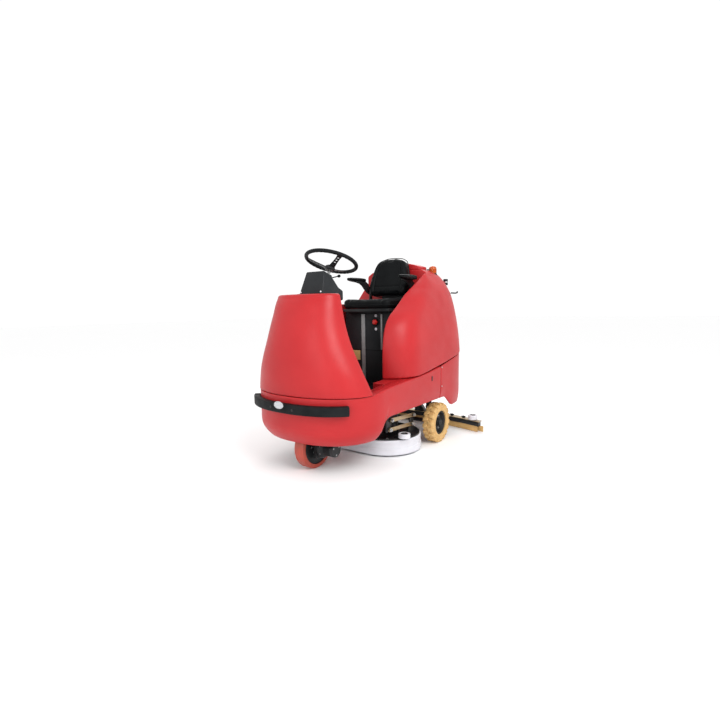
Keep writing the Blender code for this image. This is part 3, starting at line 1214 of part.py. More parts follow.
def make_deck():
    skirt_outer = stadium(DECK_RADIUS)
    skirt_inner = stadium(DECK_RADIUS - SKIRT_THICKNESS)
    band("deck_skirt", skirt_outer, skirt_inner, SKIRT_LOW_Z, DECK_PLATE_Z - SEAT_GAP, "white_plastic")
    plate_radius = DECK_RADIUS - SKIRT_THICKNESS - SEAT_GAP
    plate = prism("deck_plate", stadium(plate_radius), "z", DECK_PLATE_Z - DECK_PLATE_THICKNESS, DECK_PLATE_Z,
                  "black_paint")
    extras = []
    holes = []
    for side in (-1, 1):
        tag = "_left" if side > 0 else "_right"
        lower, upper = link_points(side)["lower"][1], link_points(side)["upper"][1]
        inner_x = LINK_X - LINK_THICKNESS / 2 - RUN_GAP
        bracket_x = sorted((side * (inner_x - LINK_BRACKET_THICKNESS), side * inner_x))
        reach = LINK_HALF_HEIGHT
        profile = ((lower.y - 3 * reach, DECK_PLATE_Z - DECK_PLATE_THICKNESS / 2),
                   (upper.y + 2 * reach, DECK_PLATE_Z - DECK_PLATE_THICKNESS / 2),
                   (upper.y + reach, upper.z + reach), (upper.y - reach, upper.z + reach),
                   (lower.y - reach, lower.z + reach))
        extras.append(prism("deck_bracket" + tag, profile, "x", *bracket_x, None))
        for level, point in (("lower", lower), ("upper", upper)):
            extras.append(link_pin("deck_pin_" + level + tag, point, side))
        extras.append(roller_arm("roller_arm" + tag, side))
        roller_low = DECK_PLATE_Z + DECK_PLATE_THICKNESS + RUN_GAP
        roller_high = roller_low + BUMP_ROLLER_HEIGHT
        extras.append(rod("roller_pin" + tag,
                          (side * BUMP_ROLLER_X, BUMP_ROLLER_Y, DECK_PLATE_Z + DECK_PLATE_THICKNESS / 2),
                          (side * BUMP_ROLLER_X, BUMP_ROLLER_Y, roller_high - RUN_GAP), ROLLER_PIN_RADIUS,
                          None))
        make_roller("deck_roller" + tag, (side * BUMP_ROLLER_X, BUMP_ROLLER_Y, roller_low),
                    BUMP_ROLLER_RADIUS, BUMP_ROLLER_HEIGHT)
        holes.append(rod("brush_hole" + tag, (side * BRUSH_X, DECK_Y, DECK_PLATE_Z - CUT_MARGIN),
                         (side * BRUSH_X, DECK_Y, DECK_PLATE_Z + CUT_MARGIN),
                         BRUSH_POST_RADIUS + RUN_GAP, None, TURN_POINTS))
        make_brush(tag, side)
    weld(plate, *extras)
    cut(plate, *holes)


def make_roller(name, foot, radius, height):
    """A bump wheel: a ring with a dished top, on its pin."""
    rim = height * 0.18
    bore = ROLLER_PIN_RADIUS + SEAT_GAP
    turned(name, ((bore, 0.0), (radius - rim, 0.0), (radius, rim), (radius, height - rim),
                  (radius - rim, height),
                  (radius * 0.62, height), (radius * 0.55, height * 0.8), (bore, height * 0.8)),
           foot, (0, 0, 1), "white_plastic", ROLLER_POINTS, ring=True)


def make_brush(tag, side):
    centre = (side * BRUSH_X, DECK_Y, 0.0)
    block_low = BRUSH_LOW_Z + BRISTLE_HEIGHT
    block_high = block_low + BRUSH_BLOCK_HEIGHT
    motor_low = DECK_PLATE_Z + SEAT_GAP
    turned("brush" + tag, ((BRUSH_RADIUS * 0.25, BRUSH_LOW_Z), (BRUSH_RADIUS, BRUSH_LOW_Z),
                           (BRUSH_RADIUS * 0.97, block_low), (BRUSH_RADIUS * 0.97, block_high),
                           (BRUSH_POST_RADIUS, block_high), (BRUSH_POST_RADIUS, motor_low - RUN_GAP)),
           centre, (0, 0, 1), "blue_bristle")
    motor_high = motor_low + BRUSH_MOTOR_HEIGHT
    radius = BRUSH_MOTOR_RADIUS
    turned("brush_motor" + tag, ((radius, motor_low), (radius, motor_high - radius / 4),
                                 (radius * 0.8, motor_high)), centre, (0, 0, 1), "black_paint")


def link_pin(name, point, side):
    start = side * (LINK_X - LINK_THICKNESS / 2 - RUN_GAP - LINK_BRACKET_THICKNESS / 2)
    end = side * (LINK_X + LINK_THICKNESS / 2 + LINK_PIN_RADIUS)
    return rod(name, (start, point.y, point.z), (end, point.y, point.z), LINK_PIN_RADIUS, None)


def make_links():
    for side in (-1, 1):
        tag = "_left" if side > 0 else "_right"
        for level, (front, rear) in link_points(side).items():
            run = rear - front
            angle = math.atan2(run.z, run.y)
            outline = []
            for centre, start in ((rear, -90), (front, 90)):
                for step in range(9):
                    turn = angle + math.radians(start + 180 * step / 8)
                    outline.append((centre.y + LINK_HALF_HEIGHT * math.cos(turn),
                                    centre.z + LINK_HALF_HEIGHT * math.sin(turn)))
            low, high = sorted((side * (LINK_X - LINK_THICKNESS / 2), side * (LINK_X + LINK_THICKNESS / 2)))
            link = prism("%s_link%s" % (level, tag), outline, "x", low, high, "yellow_zinc")
            open_end = SWING_GAP / 2 if level == "upper" else SEAT_GAP * 2
            holes = []
            for point, gap, end in ((front, SEAT_GAP * 2, "front"), (rear, open_end, "rear")):
                holes.append(rod("%s_hole%s_%s" % (level, tag, end), (low - CUT_MARGIN, point.y, point.z),
                                 (high + CUT_MARGIN, point.y, point.z), LINK_PIN_RADIUS + gap, None))
            cut(link, *holes)
            hold_at(link, front)


# Squeegee

def squeegee_y(x):
    return SQUEEGEE_MIDDLE_Y - SQUEEGEE_BOW * (x / SQUEEGEE_HALF_CHORD) ** 2


def bowed_strip(name, half_chord, near, far, low, high, finish, points=15):
    """A strip that follows the squeegee's bow, between two offsets ahead of and behind it."""
    stations = [half_chord * (2 * step / (points - 1) - 1) for step in range(points)]
    outline = [(x, squeegee_y(x) + near) for x in stations]
    outline += [(x, squeegee_y(x) + far) for x in reversed(stations)]
    return prism(name, outline, "z", low, high, finish)


def make_squeegee():
    reach = SQUEEGEE_BODY_HALF_DEPTH
    body_half = SQUEEGEE_HALF_CHORD - SQUEEGEE_BODY_SHORTER
    body = bowed_strip("squeegee_body", body_half, -reach, reach, SQUEEGEE_BODY_LOW_Z, SQUEEGEE_BODY_HIGH_Z,
                       "black_paint")
    plate_low = SQUEEGEE_BODY_HIGH_Z + SEAT_GAP
    plate_high = plate_low + SQUEEGEE_PLATE_THICKNESS
    plate_reach = reach + SQUEEGEE_PLATE_LIP
    plate = bowed_strip("squeegee_plate", SQUEEGEE_HALF_CHORD - SQUEEGEE_PLATE_SHORTER, -plate_reach,
                        plate_reach,
                        plate_low, plate_high, "yellow_zinc")
    spigot_y = squeegee_y(SPIGOT_X)
    bore = rod("spigot_bore", (SPIGOT_X, spigot_y, SQUEEGEE_BODY_LOW_Z - CUT_MARGIN),
               (SPIGOT_X, spigot_y, plate_high + SPIGOT_HEIGHT + CUT_MARGIN),
               SPIGOT_RADIUS - SPIGOT_WALL, None, TURN_POINTS)
    cut(body, bore)
    pins = [rod("suction_spigot", (SPIGOT_X, spigot_y, plate_low + SEAT_GAP),
                (SPIGOT_X, spigot_y, plate_high + SPIGOT_HEIGHT), SPIGOT_RADIUS, None, TURN_POINTS)]
    roller_low = plate_high + RUN_GAP
    for side in (-1, 1):
        tag = "_left" if side > 0 else "_right"
        point = (side * WALL_ROLLER_X, squeegee_y(WALL_ROLLER_X))
        pins.append(rod("wall_roller_pin" + tag, (*point, plate_low + SEAT_GAP),
                        (*point, roller_low + WALL_ROLLER_HEIGHT * 0.9), ROLLER_PIN_RADIUS, None))
        make_roller("squeegee_roller" + tag, (*point, roller_low), WALL_ROLLER_RADIUS, WALL_ROLLER_HEIGHT)
    weld(plate, *pins)
    cut(plate, bore)
    blade_high = SQUEEGEE_BODY_LOW_Z - SEAT_GAP
    blades = (("blade_front", -BLADE_OFFSET, SQUEEGEE_HALF_CHORD - FRONT_BLADE_SHORTER),
              ("blade_rear", BLADE_OFFSET - BLADE_THICKNESS, SQUEEGEE_HALF_CHORD))
    for name, near, half_chord in blades:
        bowed_strip(name, half_chord, near, near + BLADE_THICKNESS, BLADE_LOW_Z, blade_high, "tan_rubber")
    make_squeegee_arm(plate_high)


def make_squeegee_arm(plate_high):
    """The swivel under the chassis, and the arm that lifts from it."""
    swivel_low = ARM_HINGE_Z - ARM_BAR_HALF_HEIGHT * 2
    swivel_high = RAIL_LOW_Z - SEAT_GAP * 4
    swivel = turned("squeegee_swivel", ((SWING_RADIUS, swivel_low), (SWING_RADIUS, swivel_high)),
                    (0.0, SWING_Y, 0.0), (0, 0, 1), "black_paint")
    cheek = ARM_BAR_HALF_HEIGHT
    extras = [block("swivel_neck", (-cheek, SWING_Y, swivel_low),
                    (cheek, ARM_HINGE_Y + cheek, swivel_low + 4 * cheek), None)]
    pin_half = ARM_HALF_WIDTH + SWING_GAP
    extras.append(rod("swivel_pin", (-pin_half, ARM_HINGE_Y, ARM_HINGE_Z),
                      (pin_half, ARM_HINGE_Y, ARM_HINGE_Z),
                      LINK_PIN_RADIUS, None))
    hole = rod("swivel_bore", (0.0, SWING_Y, swivel_high - 2 * SWING_RADIUS),
               (0.0, SWING_Y, swivel_high + CUT_MARGIN),
               LINK_PIN_RADIUS * 2 + SEAT_GAP * 2, None, TURN_POINTS)
    weld(swivel, *extras)
    cut(swivel, hole)
    hold_at(swivel, (0.0, SWING_Y, 0.0))
    top = plate_high + SEAT_GAP
    foot_front = squeegee_y(0.0) - SQUEEGEE_BODY_HALF_DEPTH
    foot_rear = squeegee_y(0.0) + SQUEEGEE_BODY_HALF_DEPTH
    bar = ARM_BAR_HALF_HEIGHT
    profile = ((ARM_HINGE_Y - bar, ARM_HINGE_Z - bar), (ARM_HINGE_Y + bar, ARM_HINGE_Z - bar),
               (foot_front, top + 2 * bar), (foot_front, top), (foot_rear, top), (foot_rear, top + bar),
               (foot_front + 2 * bar, top + 4 * bar), (ARM_HINGE_Y + 2 * bar, ARM_HINGE_Z + bar),
               (ARM_HINGE_Y - bar, ARM_HINGE_Z + bar))
    arm = prism("squeegee_arm", profile, "x", -ARM_HALF_WIDTH, ARM_HALF_WIDTH, "black_paint")
    gap = block("arm_fork_gap", (-cheek - SWING_GAP, 0.0, 0.0),
                (cheek + SWING_GAP, ARM_HINGE_Y + 4 * bar, BODY_REACH), None)
    bore_half = ARM_HALF_WIDTH + CUT_MARGIN
    bore = rod("arm_bore", (-bore_half, ARM_HINGE_Y, ARM_HINGE_Z), (bore_half, ARM_HINGE_Y, ARM_HINGE_Z),
               LINK_PIN_RADIUS + SEAT_GAP * 2, None)
    cut(arm, gap, bore)
    hold_at(arm, (0.0, ARM_HINGE_Y, ARM_HINGE_Z))


# Chassis

def make_chassis():
    frame = block("chassis_frame", (RAIL_X - RAIL_WIDTH / 2, RAIL_FRONT_Y, RAIL_LOW_Z),
                  (RAIL_X + RAIL_WIDTH / 2, RAIL_REAR_Y, RAIL_HIGH_Z), "black_paint")
    rail = RAIL_X + RAIL_WIDTH / 4
    extras = [block("rail_right", (-RAIL_X - RAIL_WIDTH / 2, RAIL_FRONT_Y, RAIL_LOW_Z),
                    (-RAIL_X + RAIL_WIDTH / 2, RAIL_REAR_Y, RAIL_HIGH_Z), None)]
    trim = RAIL_WIDTH / 8
    for name, middle in (("cross_rear", SWING_Y), ("cross_middle", REAR_AXLE_Y), ("cross_end", CROSS_END_Y)):
        extras.append(block(name, (-rail, middle - CROSS_WIDTH / 2, RAIL_LOW_Z),
                            (rail, middle + CROSS_WIDTH / 2, RAIL_HIGH_Z - trim), None))
    head_low = FORK_TOP_Z + SEAT_GAP * 4
    extras.append(block("head_plate", (-rail, RAIL_FRONT_Y + trim, head_low),
                        (rail, HEAD_PLATE_REAR_Y, head_low + HEAD_PLATE_THICKNESS), None))
    for side in (-1, 1):
        tag = "_left" if side > 0 else "_right"
        plate_x = sorted((side * (RAIL_X - trim), side * (RAIL_X + trim)))
        extras.append(block("head_side" + tag, (plate_x[0], RAIL_FRONT_Y + trim, head_low),
                            (plate_x[1], HEAD_PLATE_REAR_Y, RAIL_LOW_Z + trim), None))
        outer = side * (rear_wheel_x() - REAR_WIDTH / 2 - SWING_GAP * 2)
        bracket_x = sorted((outer - side * AXLE_BRACKET_THICKNESS, outer))
        reach = AXLE_BRACKET_HALF_WIDTH
        extras.append(block("axle_bracket" + tag, (bracket_x[0], REAR_AXLE_Y - reach, REAR_RADIUS - reach),
                            (bracket_x[1], REAR_AXLE_Y + reach, RAIL_HIGH_Z - trim), None))
        gusset_x = sorted((side * RAIL_X, outer))
        extras.append(block("axle_gusset" + tag, (gusset_x[0], REAR_AXLE_Y - reach + trim, RAIL_LOW_Z + trim),
                            (gusset_x[1] - trim * (side > 0), REAR_AXLE_Y + reach - trim,
                             RAIL_HIGH_Z - 2 * trim),
                            None))
        front = link_points(side)["lower"][0]
        upper = link_points(side)["upper"][0]
        inner_x = LINK_X - LINK_THICKNESS / 2 - RUN_GAP
        link_x = sorted((side * (inner_x - LINK_BRACKET_THICKNESS), side * inner_x))
        extras.append(block("link_bracket" + tag,
                            (link_x[0], front.y - LINK_HALF_HEIGHT * 2, front.z - LINK_HALF_HEIGHT),
                            (link_x[1], upper.y + LINK_HALF_HEIGHT, RAIL_LOW_Z + 4 * trim), None))
        tie_x = sorted((side * RAIL_X, side * (inner_x - LINK_BRACKET_THICKNESS / 4)))
        extras.append(block("link_gusset" + tag,
                            (tie_x[0], front.y - LINK_HALF_HEIGHT * 2 + trim, RAIL_LOW_Z + trim),
                            (tie_x[1], upper.y + LINK_HALF_HEIGHT - trim, RAIL_LOW_Z + 3 * trim), None))
        for level, point in (("lower", front), ("upper", upper)):
            extras.append(link_pin("chassis_pin_" + level + tag, point, side))
    extras.append(rod("swing_pin", (0.0, SWING_Y, RAIL_LOW_Z - SWING_RADIUS * 1.5),
                      (0.0, SWING_Y, RAIL_LOW_Z + trim),
                      LINK_PIN_RADIUS * 2, None, TURN_POINTS))
    axle_end = rear_wheel_x() + REAR_WIDTH * 0.35
    extras.append(rod("rear_axle", (-axle_end, REAR_AXLE_Y, REAR_RADIUS),
                      (axle_end, REAR_AXLE_Y, REAR_RADIUS),
                      REAR_AXLE_RADIUS, None, TURN_POINTS))
    weld(frame, *extras)
    post_bore = rod("head_bore", (DRIVE_X, DRIVE_Y, head_low - CUT_MARGIN),
                    (DRIVE_X, DRIVE_Y, head_low + HEAD_PLATE_THICKNESS + CUT_MARGIN),
                    FORK_POST_RADIUS + RUN_GAP, None, TURN_POINTS)
    return cut(frame, post_bore)


# Pedals and fittings

def make_pedal():
    floor = FLOOR_Z + SEAT_GAP
    hinge_z = floor + PEDAL_HINGE_RADIUS * 3
    rise = math.radians(PEDAL_RISE)
    shaft_half = PEDAL_HALF_WIDTH * 1.3
    shaft = rod("pedal_shaft", (ACCELERATOR_X - shaft_half, PEDAL_HINGE_Y, hinge_z),
                (ACCELERATOR_X + shaft_half, PEDAL_HINGE_Y, hinge_z), PEDAL_HINGE_RADIUS, "steel")
    feet = []
    for side in (-1, 1):
        middle = ACCELERATOR_X + side * PEDAL_HALF_WIDTH * 1.25
        reach = PEDAL_FOOT_HALF_LENGTH
        feet.append(block("pedal_foot_%d" % (side + 1),
                          (middle - PEDAL_THICKNESS, PEDAL_HINGE_Y - reach, floor),
                          (middle + PEDAL_THICKNESS, PEDAL_HINGE_Y + reach,
                           hinge_z + PEDAL_HINGE_RADIUS * 1.5),
                          None))
    weld(shaft, *feet)
    hinge = Vector((ACCELERATOR_X, PEDAL_HINGE_Y, hinge_z))
    outer = PEDAL_HINGE_RADIUS * 1.9
    pedal = turned("accelerator_pedal",
                   ((PEDAL_HINGE_RADIUS + SEAT_GAP, -PEDAL_HALF_WIDTH), (outer, -PEDAL_HALF_WIDTH),
                    (outer, PEDAL_HALF_WIDTH), (PEDAL_HINGE_RADIUS + SEAT_GAP, PEDAL_HALF_WIDTH)),
                   hinge, (1, 0, 0), "black_rubber", ring=True)
    pad = block("pedal_pad", (-PEDAL_HALF_WIDTH + RUN_GAP, -PEDAL_LENGTH, outer - PEDAL_THICKNESS),
                (PEDAL_HALF_WIDTH - RUN_GAP, -PEDAL_HINGE_RADIUS * 0.5, outer + SEAT_GAP), None)
    pad.data.transform(Matrix.Translation(hinge) @ Matrix.Rotation(-rise, 4, "X"))
    past = Vector((PEDAL_HALF_WIDTH + CUT_MARGIN, 0, 0))
    bore = rod("pedal_bore", hinge - past, hinge + past, PEDAL_HINGE_RADIUS + SEAT_GAP, None)
    weld(pedal, pad)
    cut(pedal, bore)
    return hold_at(pedal, hinge)


def make_fittings():
    top = VACUUM_LOW_Z + RAIL_HIGH_Z - RAIL_LOW_Z
    turned("vacuum_motor", ((VACUUM_RADIUS, top), (VACUUM_RADIUS, top + VACUUM_HEIGHT * 0.6),
                            (VACUUM_RADIUS * 0.7, top + VACUUM_HEIGHT * 0.7),
                            (VACUUM_RADIUS * 0.7, top + VACUUM_HEIGHT)),
           (0.0, VACUUM_Y, 0.0), (0, 0, 1), "charcoal_plastic")
    make_beacon()
    make_drain_cap()


def build():
    remove_old_objects()
    make_chassis()
    make_lower_body()
    make_rear_cover()
    make_front_cowl()
    make_knee_panel()
    make_solution_tank()
    make_recovery_tank()
    make_tank_lid()
    make_bumper()
    make_battery_box()
    make_battery()
    make_seat()
    make_steering()
    make_console()
    make_drive_unit()
    make_rear_wheels()
    make_deck()
    make_links()
    make_squeegee()
    make_pedal()
    make_fittings()


build()
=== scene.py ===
import json
import math

import bpy
from mathutils import Matrix, Vector


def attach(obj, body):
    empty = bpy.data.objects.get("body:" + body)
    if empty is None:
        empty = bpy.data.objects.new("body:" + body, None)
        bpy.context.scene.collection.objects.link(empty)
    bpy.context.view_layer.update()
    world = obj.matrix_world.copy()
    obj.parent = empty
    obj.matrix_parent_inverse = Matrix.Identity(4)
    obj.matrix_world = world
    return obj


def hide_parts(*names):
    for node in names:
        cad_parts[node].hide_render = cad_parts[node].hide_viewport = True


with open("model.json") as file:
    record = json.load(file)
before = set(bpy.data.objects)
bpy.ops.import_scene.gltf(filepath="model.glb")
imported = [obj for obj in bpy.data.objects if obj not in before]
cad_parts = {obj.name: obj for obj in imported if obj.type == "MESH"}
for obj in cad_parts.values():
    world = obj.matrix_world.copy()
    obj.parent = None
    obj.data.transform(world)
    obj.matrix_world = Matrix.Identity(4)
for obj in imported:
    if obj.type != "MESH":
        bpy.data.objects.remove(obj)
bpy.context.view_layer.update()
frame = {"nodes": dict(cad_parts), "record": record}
nodes = frame["nodes"]
bodyOf = {node: body for body, members in frame["record"]["behaviour"]["bodies"].items() for node in members}
bpy.context.scene.view_settings.view_transform = "Standard"


# Selecting, applying and joining, as by hand

def startFresh():
    if bpy.context.object and bpy.context.object.mode != "OBJECT":
        bpy.ops.object.mode_set(mode="OBJECT")
    bpy.ops.object.select_all(action="DESELECT")


def useOnly(piece):
    startFresh()
    piece.select_set(True)
    bpy.context.view_layer.objects.active = piece
    return piece


def settle(piece):
    useOnly(piece)
    bpy.ops.object.transform_apply(location=True, rotation=True, scale=True)
    return piece


def change(piece, kind, **settings):
    useOnly(piece)
    modifier = piece.modifiers.new(kind.title(), kind)
    for key, value in settings.items():
        setattr(modifier, key, value)
    bpy.ops.object.modifier_apply(modifier=modifier.name)
    return piece


def softEdges(piece, width=0.002, segments=3, angle=30.0):
    change(piece, "BEVEL", width=width, segments=segments, limit_method="ANGLE",
           angle_limit=math.radians(angle), use_clamp_overlap=True)
    return shadeRound(piece)


def shadeRound(piece, angle=38.0):
    useOnly(piece)
    bpy.ops.object.shade_smooth_by_angle(angle=math.radians(angle))
    return piece


def cutOut(piece, *cutters, solver="EXACT"):
    for cutter in cutters:
        change(piece, "BOOLEAN", object=cutter, operation="DIFFERENCE", solver=solver)
        bpy.data.objects.remove(cutter)
    return piece


def joined(name, *pieces):
    startFresh()
    for piece in pieces:
        piece.select_set(True)
    bpy.context.view_layer.objects.active = pieces[0]
    if len(pieces) > 1:
        bpy.ops.object.join()
    pieces[0].name = name
    pieces[0].data.name = name
    return pieces[0]


def copied(piece, name, matrix):
    twin = piece.copy()
    twin.data = piece.data.copy()
    twin.name = name
    bpy.context.collection.objects.link(twin)
    twin.data.transform(matrix)
    if matrix.determinant() < 0:
        twin.data.flip_normals()
    return twin


def cleaned(piece, threshold=0.00001):
    useOnly(piece)
    bpy.ops.object.mode_set(mode="EDIT")
    bpy.ops.mesh.select_all(action="SELECT")
    bpy.ops.mesh.remove_doubles(threshold=threshold)
    bpy.ops.mesh.normals_make_consistent(inside=False)
    bpy.ops.object.mode_set(mode="OBJECT")
    return piece


def meshPiece(name, points, edges, faces):
    mesh = bpy.data.meshes.new(name)
    mesh.from_pydata([tuple(point) for point in points], edges, faces)
    piece = bpy.data.objects.new(name, mesh)
    bpy.context.collection.objects.link(piece)
    return piece


def boxPiece(name, low, high):
    startFresh()
    low, high = Vector(low), Vector(high)
    bpy.ops.mesh.primitive_cube_add(size=1.0, location=(low + high) / 2, scale=high - low)
    piece = bpy.context.object
    piece.name = name
    return settle(piece)


def rodPiece(name, start, end, radius, sides=24):
    startFresh()
    start, end = Vector(start), Vector(end)
    bpy.ops.mesh.primitive_cylinder_add(vertices=sides, radius=radius, depth=(end - start).length)
    piece = bpy.context.object
    piece.name = name
    turn = Vector((0, 0, 1)).rotation_difference(end - start).to_matrix().to_4x4()
    piece.data.transform(Matrix.Translation((start + end) / 2) @ turn)
    return piece


def alongAxis(centre, direction):
    turn = Vector((0, 0, 1)).rotation_difference(Vector(direction)).to_matrix().to_4x4()
    return Matrix.Translation(Vector(centre)) @ turn


def spunPiece(name, profile, centre, direction=(0, 0, 1), steps=48, ring=False):
    count = len(profile)
    edges = [(index, index + 1) for index in range(count - 1)] + ([(count - 1, 0)] if ring else [])
    piece = meshPiece(name, [(radius, 0.0, height) for radius, height in profile], edges, [])
    useOnly(piece)
    bpy.ops.object.mode_set(mode="EDIT")
    bpy.ops.mesh.select_all(action="SELECT")
    bpy.ops.mesh.spin(steps=steps, angle=2 * math.pi, center=(0, 0, 0), axis=(0, 0, 1))
    bpy.ops.mesh.select_all(action="SELECT")
    bpy.ops.mesh.remove_doubles(threshold=0.00001)
    if not ring:
        bpy.ops.mesh.select_all(action="DESELECT")
        bpy.ops.mesh.select_non_manifold()
        bpy.ops.mesh.fill_holes(sides=0)
        bpy.ops.mesh.select_all(action="SELECT")
    bpy.ops.mesh.normals_make_consistent(inside=False)
    bpy.ops.object.mode_set(mode="OBJECT")
    piece.data.transform(alongAxis(centre, direction))
    return piece


def outlinePiece(name, outline, axis, low, high):
    place = {"x": lambda a, b, c: (c, a, b), "y": lambda a, b, c: (a, c, b), "z": lambda a, b,
             c: (a, b, c)}[axis]
    piece = meshPiece(name, [place(a, b, low) for a, b in outline], [], [list(range(len(outline)))])
    useOnly(piece)
    bpy.ops.object.mode_set(mode="EDIT")
    bpy.ops.mesh.select_all(action="SELECT")
    bpy.ops.mesh.extrude_region_move(TRANSFORM_OT_translate={"value": place(0, 0, high - low)})
    bpy.ops.mesh.select_all(action="SELECT")
    bpy.ops.mesh.normals_make_consistent(inside=False)
    bpy.ops.object.mode_set(mode="OBJECT")
    return piece


def loftPiece(name, rings, openRing=False, capped=False):
    count = len(rings[0])
    points = [point for ring in rings for point in ring]
    faces = []
    last = count - 1 if openRing else count
    for level in range(len(rings) - 1):
        for index in range(last):
            after = (index + 1) % count
            faces.append((level * count + index, level * count + after,
                          (level + 1) * count + after, (level + 1) * count + index))
    if capped:
        for base in (0, (len(rings) - 1) * count):
            for index in range(count // 2 - 1):
                faces.append((base + index, base + index + 1, base + count - 2 - index,
                              base + count - 1 - index))
    piece = meshPiece(name, points, [], faces)
    return cleaned(piece)


def tubePiece(name, points, radius, closed=False, sides=6, resolution=6):
    curve = bpy.data.curves.new(name, "CURVE")
    curve.dimensions = "3D"
    curve.bevel_depth = radius
    curve.bevel_resolution = sides // 2
    curve.resolution_u = resolution
    curve.use_fill_caps = True
    spline = curve.splines.new("BEZIER")
    spline.bezier_points.add(len(points) - 1)
    for knot, point in zip(spline.bezier_points, points):
        knot.co = point
        knot.handle_left_type = knot.handle_right_type = "AUTO"
    spline.use_cyclic_u = closed
    piece = bpy.data.objects.new(name, curve)
    bpy.context.collection.objects.link(piece)
    useOnly(piece)
    bpy.ops.object.convert(target="MESH")
    piece = bpy.context.object
    cleaned(piece)
    return shadeRound(piece, 60)


def finished(piece, finish, body, *replaced, slot=None):
    piece.data.materials.clear()
    piece.data.materials.append(materials[finish])
    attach(piece, body)
    if replaced:
        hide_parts(*replaced)
    return piece


# Finishes

materials = {}

finishes = {
    "red_moulding": dict(color=(0.40, 0.010, 0.013), tint=(0.45, 0.014, 0.017), tintScale=3.0,
                         rough=(0.36, 0.46),
                         roughScale=9.0, bump=0.00025, bumpScale=420.0, shine=0.32),
    "charcoal_plastic": dict(color=(0.009, 0.011, 0.013), tint=(0.014, 0.016, 0.018), tintScale=6.0,
                             rough=(0.42, 0.56), roughScale=14.0, bump=0.0003, bumpScale=700.0, shine=0.26),
    "black_paint": dict(color=(0.010, 0.011, 0.012), tint=(0.020, 0.020, 0.021), tintScale=10.0,
                        rough=(0.30, 0.50), roughScale=24.0, bump=0.00012, bumpScale=240.0, shine=0.30),
    "black_rubber": dict(color=(0.004, 0.005, 0.0055), tint=(0.010, 0.011, 0.012), tintScale=8.0,
                         rough=(0.48, 0.68), roughScale=20.0, bump=0.0002, bumpScale=500.0, shine=0.13),
    "black_vinyl": dict(color=(0.003, 0.0035, 0.004), tint=(0.005, 0.006, 0.0065), tintScale=12.0,
                        rough=(0.40, 0.55), roughScale=30.0, bump=0.0005, bumpScale=420.0, grain=True,
                        shine=0.09),
    "white_plastic": dict(color=(0.72, 0.72, 0.77), tint=(0.64, 0.64, 0.68), tintScale=7.0,
                          rough=(0.36, 0.52), roughScale=16.0, bump=0.00015, bumpScale=180.0),
    "red_polyurethane": dict(color=(0.42, 0.055, 0.030), tint=(0.34, 0.050, 0.030), tintScale=14.0,
                             rough=(0.34, 0.58), roughScale=20.0, bump=0.0003, bumpScale=150.0),
    "tan_rubber": dict(color=(0.64, 0.40, 0.15), tint=(0.54, 0.33, 0.12), tintScale=16.0,
                       rough=(0.52, 0.72), roughScale=22.0, bump=0.0004, bumpScale=260.0),
    "yellow_zinc": dict(color=(0.44, 0.33, 0.18), tint=(0.36, 0.28, 0.20), tintScale=22.0,
                        rough=(0.30, 0.46), roughScale=40.0, bump=0.0001, bumpScale=300.0, metal=1.0),
    "steel": dict(color=(0.56, 0.56, 0.55), tint=(0.42, 0.42, 0.42), tintScale=20.0,
                  rough=(0.24, 0.42), roughScale=50.0, bump=0.0001, bumpScale=400.0, metal=1.0),
    "aluminium": dict(color=(0.40, 0.41, 0.41), tint=(0.34, 0.35, 0.35), tintScale=30.0, rough=(0.34, 0.48),
                      roughScale=60.0, bump=0.0001, bumpScale=400.0, metal=0.45),
    "blue_bristle": dict(color=(0.03, 0.07, 0.22), tint=(0.06, 0.12, 0.32), tintScale=300.0,
                         rough=(0.5, 0.7), roughScale=80.0, bump=0.002, bumpScale=300.0,
                         stretch=(1.0, 1.0, 0.03)),
    "orange_lens": dict(color=(0.62, 0.11, 0.008), tint=(0.52, 0.08, 0.006), tintScale=20.0,
                        rough=(0.10, 0.18), roughScale=30.0, bump=0.0002, bumpScale=200.0, glass=0.35),
    "red_button": dict(color=(0.62, 0.015, 0.012), tint=(0.55, 0.012, 0.010), tintScale=40.0,
                       rough=(0.20, 0.32), roughScale=60.0, bump=0.00005, bumpScale=300.0),
    "white_reflector": dict(color=(0.50, 0.51, 0.53), tint=(0.42, 0.43, 0.45), tintScale=60.0,
                            rough=(0.16, 0.26), roughScale=60.0, bump=0.0004, bumpScale=300.0, coat=0.5),
    "battery_case": dict(color=(0.030, 0.030, 0.034), tint=(0.045, 0.045, 0.050), tintScale=10.0,
                         rough=(0.45, 0.60), roughScale=20.0, bump=0.0002, bumpScale=300.0),
    "natural_tank": dict(color=(0.62, 0.62, 0.56), tint=(0.54, 0.54, 0.48), tintScale=6.0,
                         rough=(0.42, 0.56), roughScale=12.0, bump=0.0002, bumpScale=240.0),
}


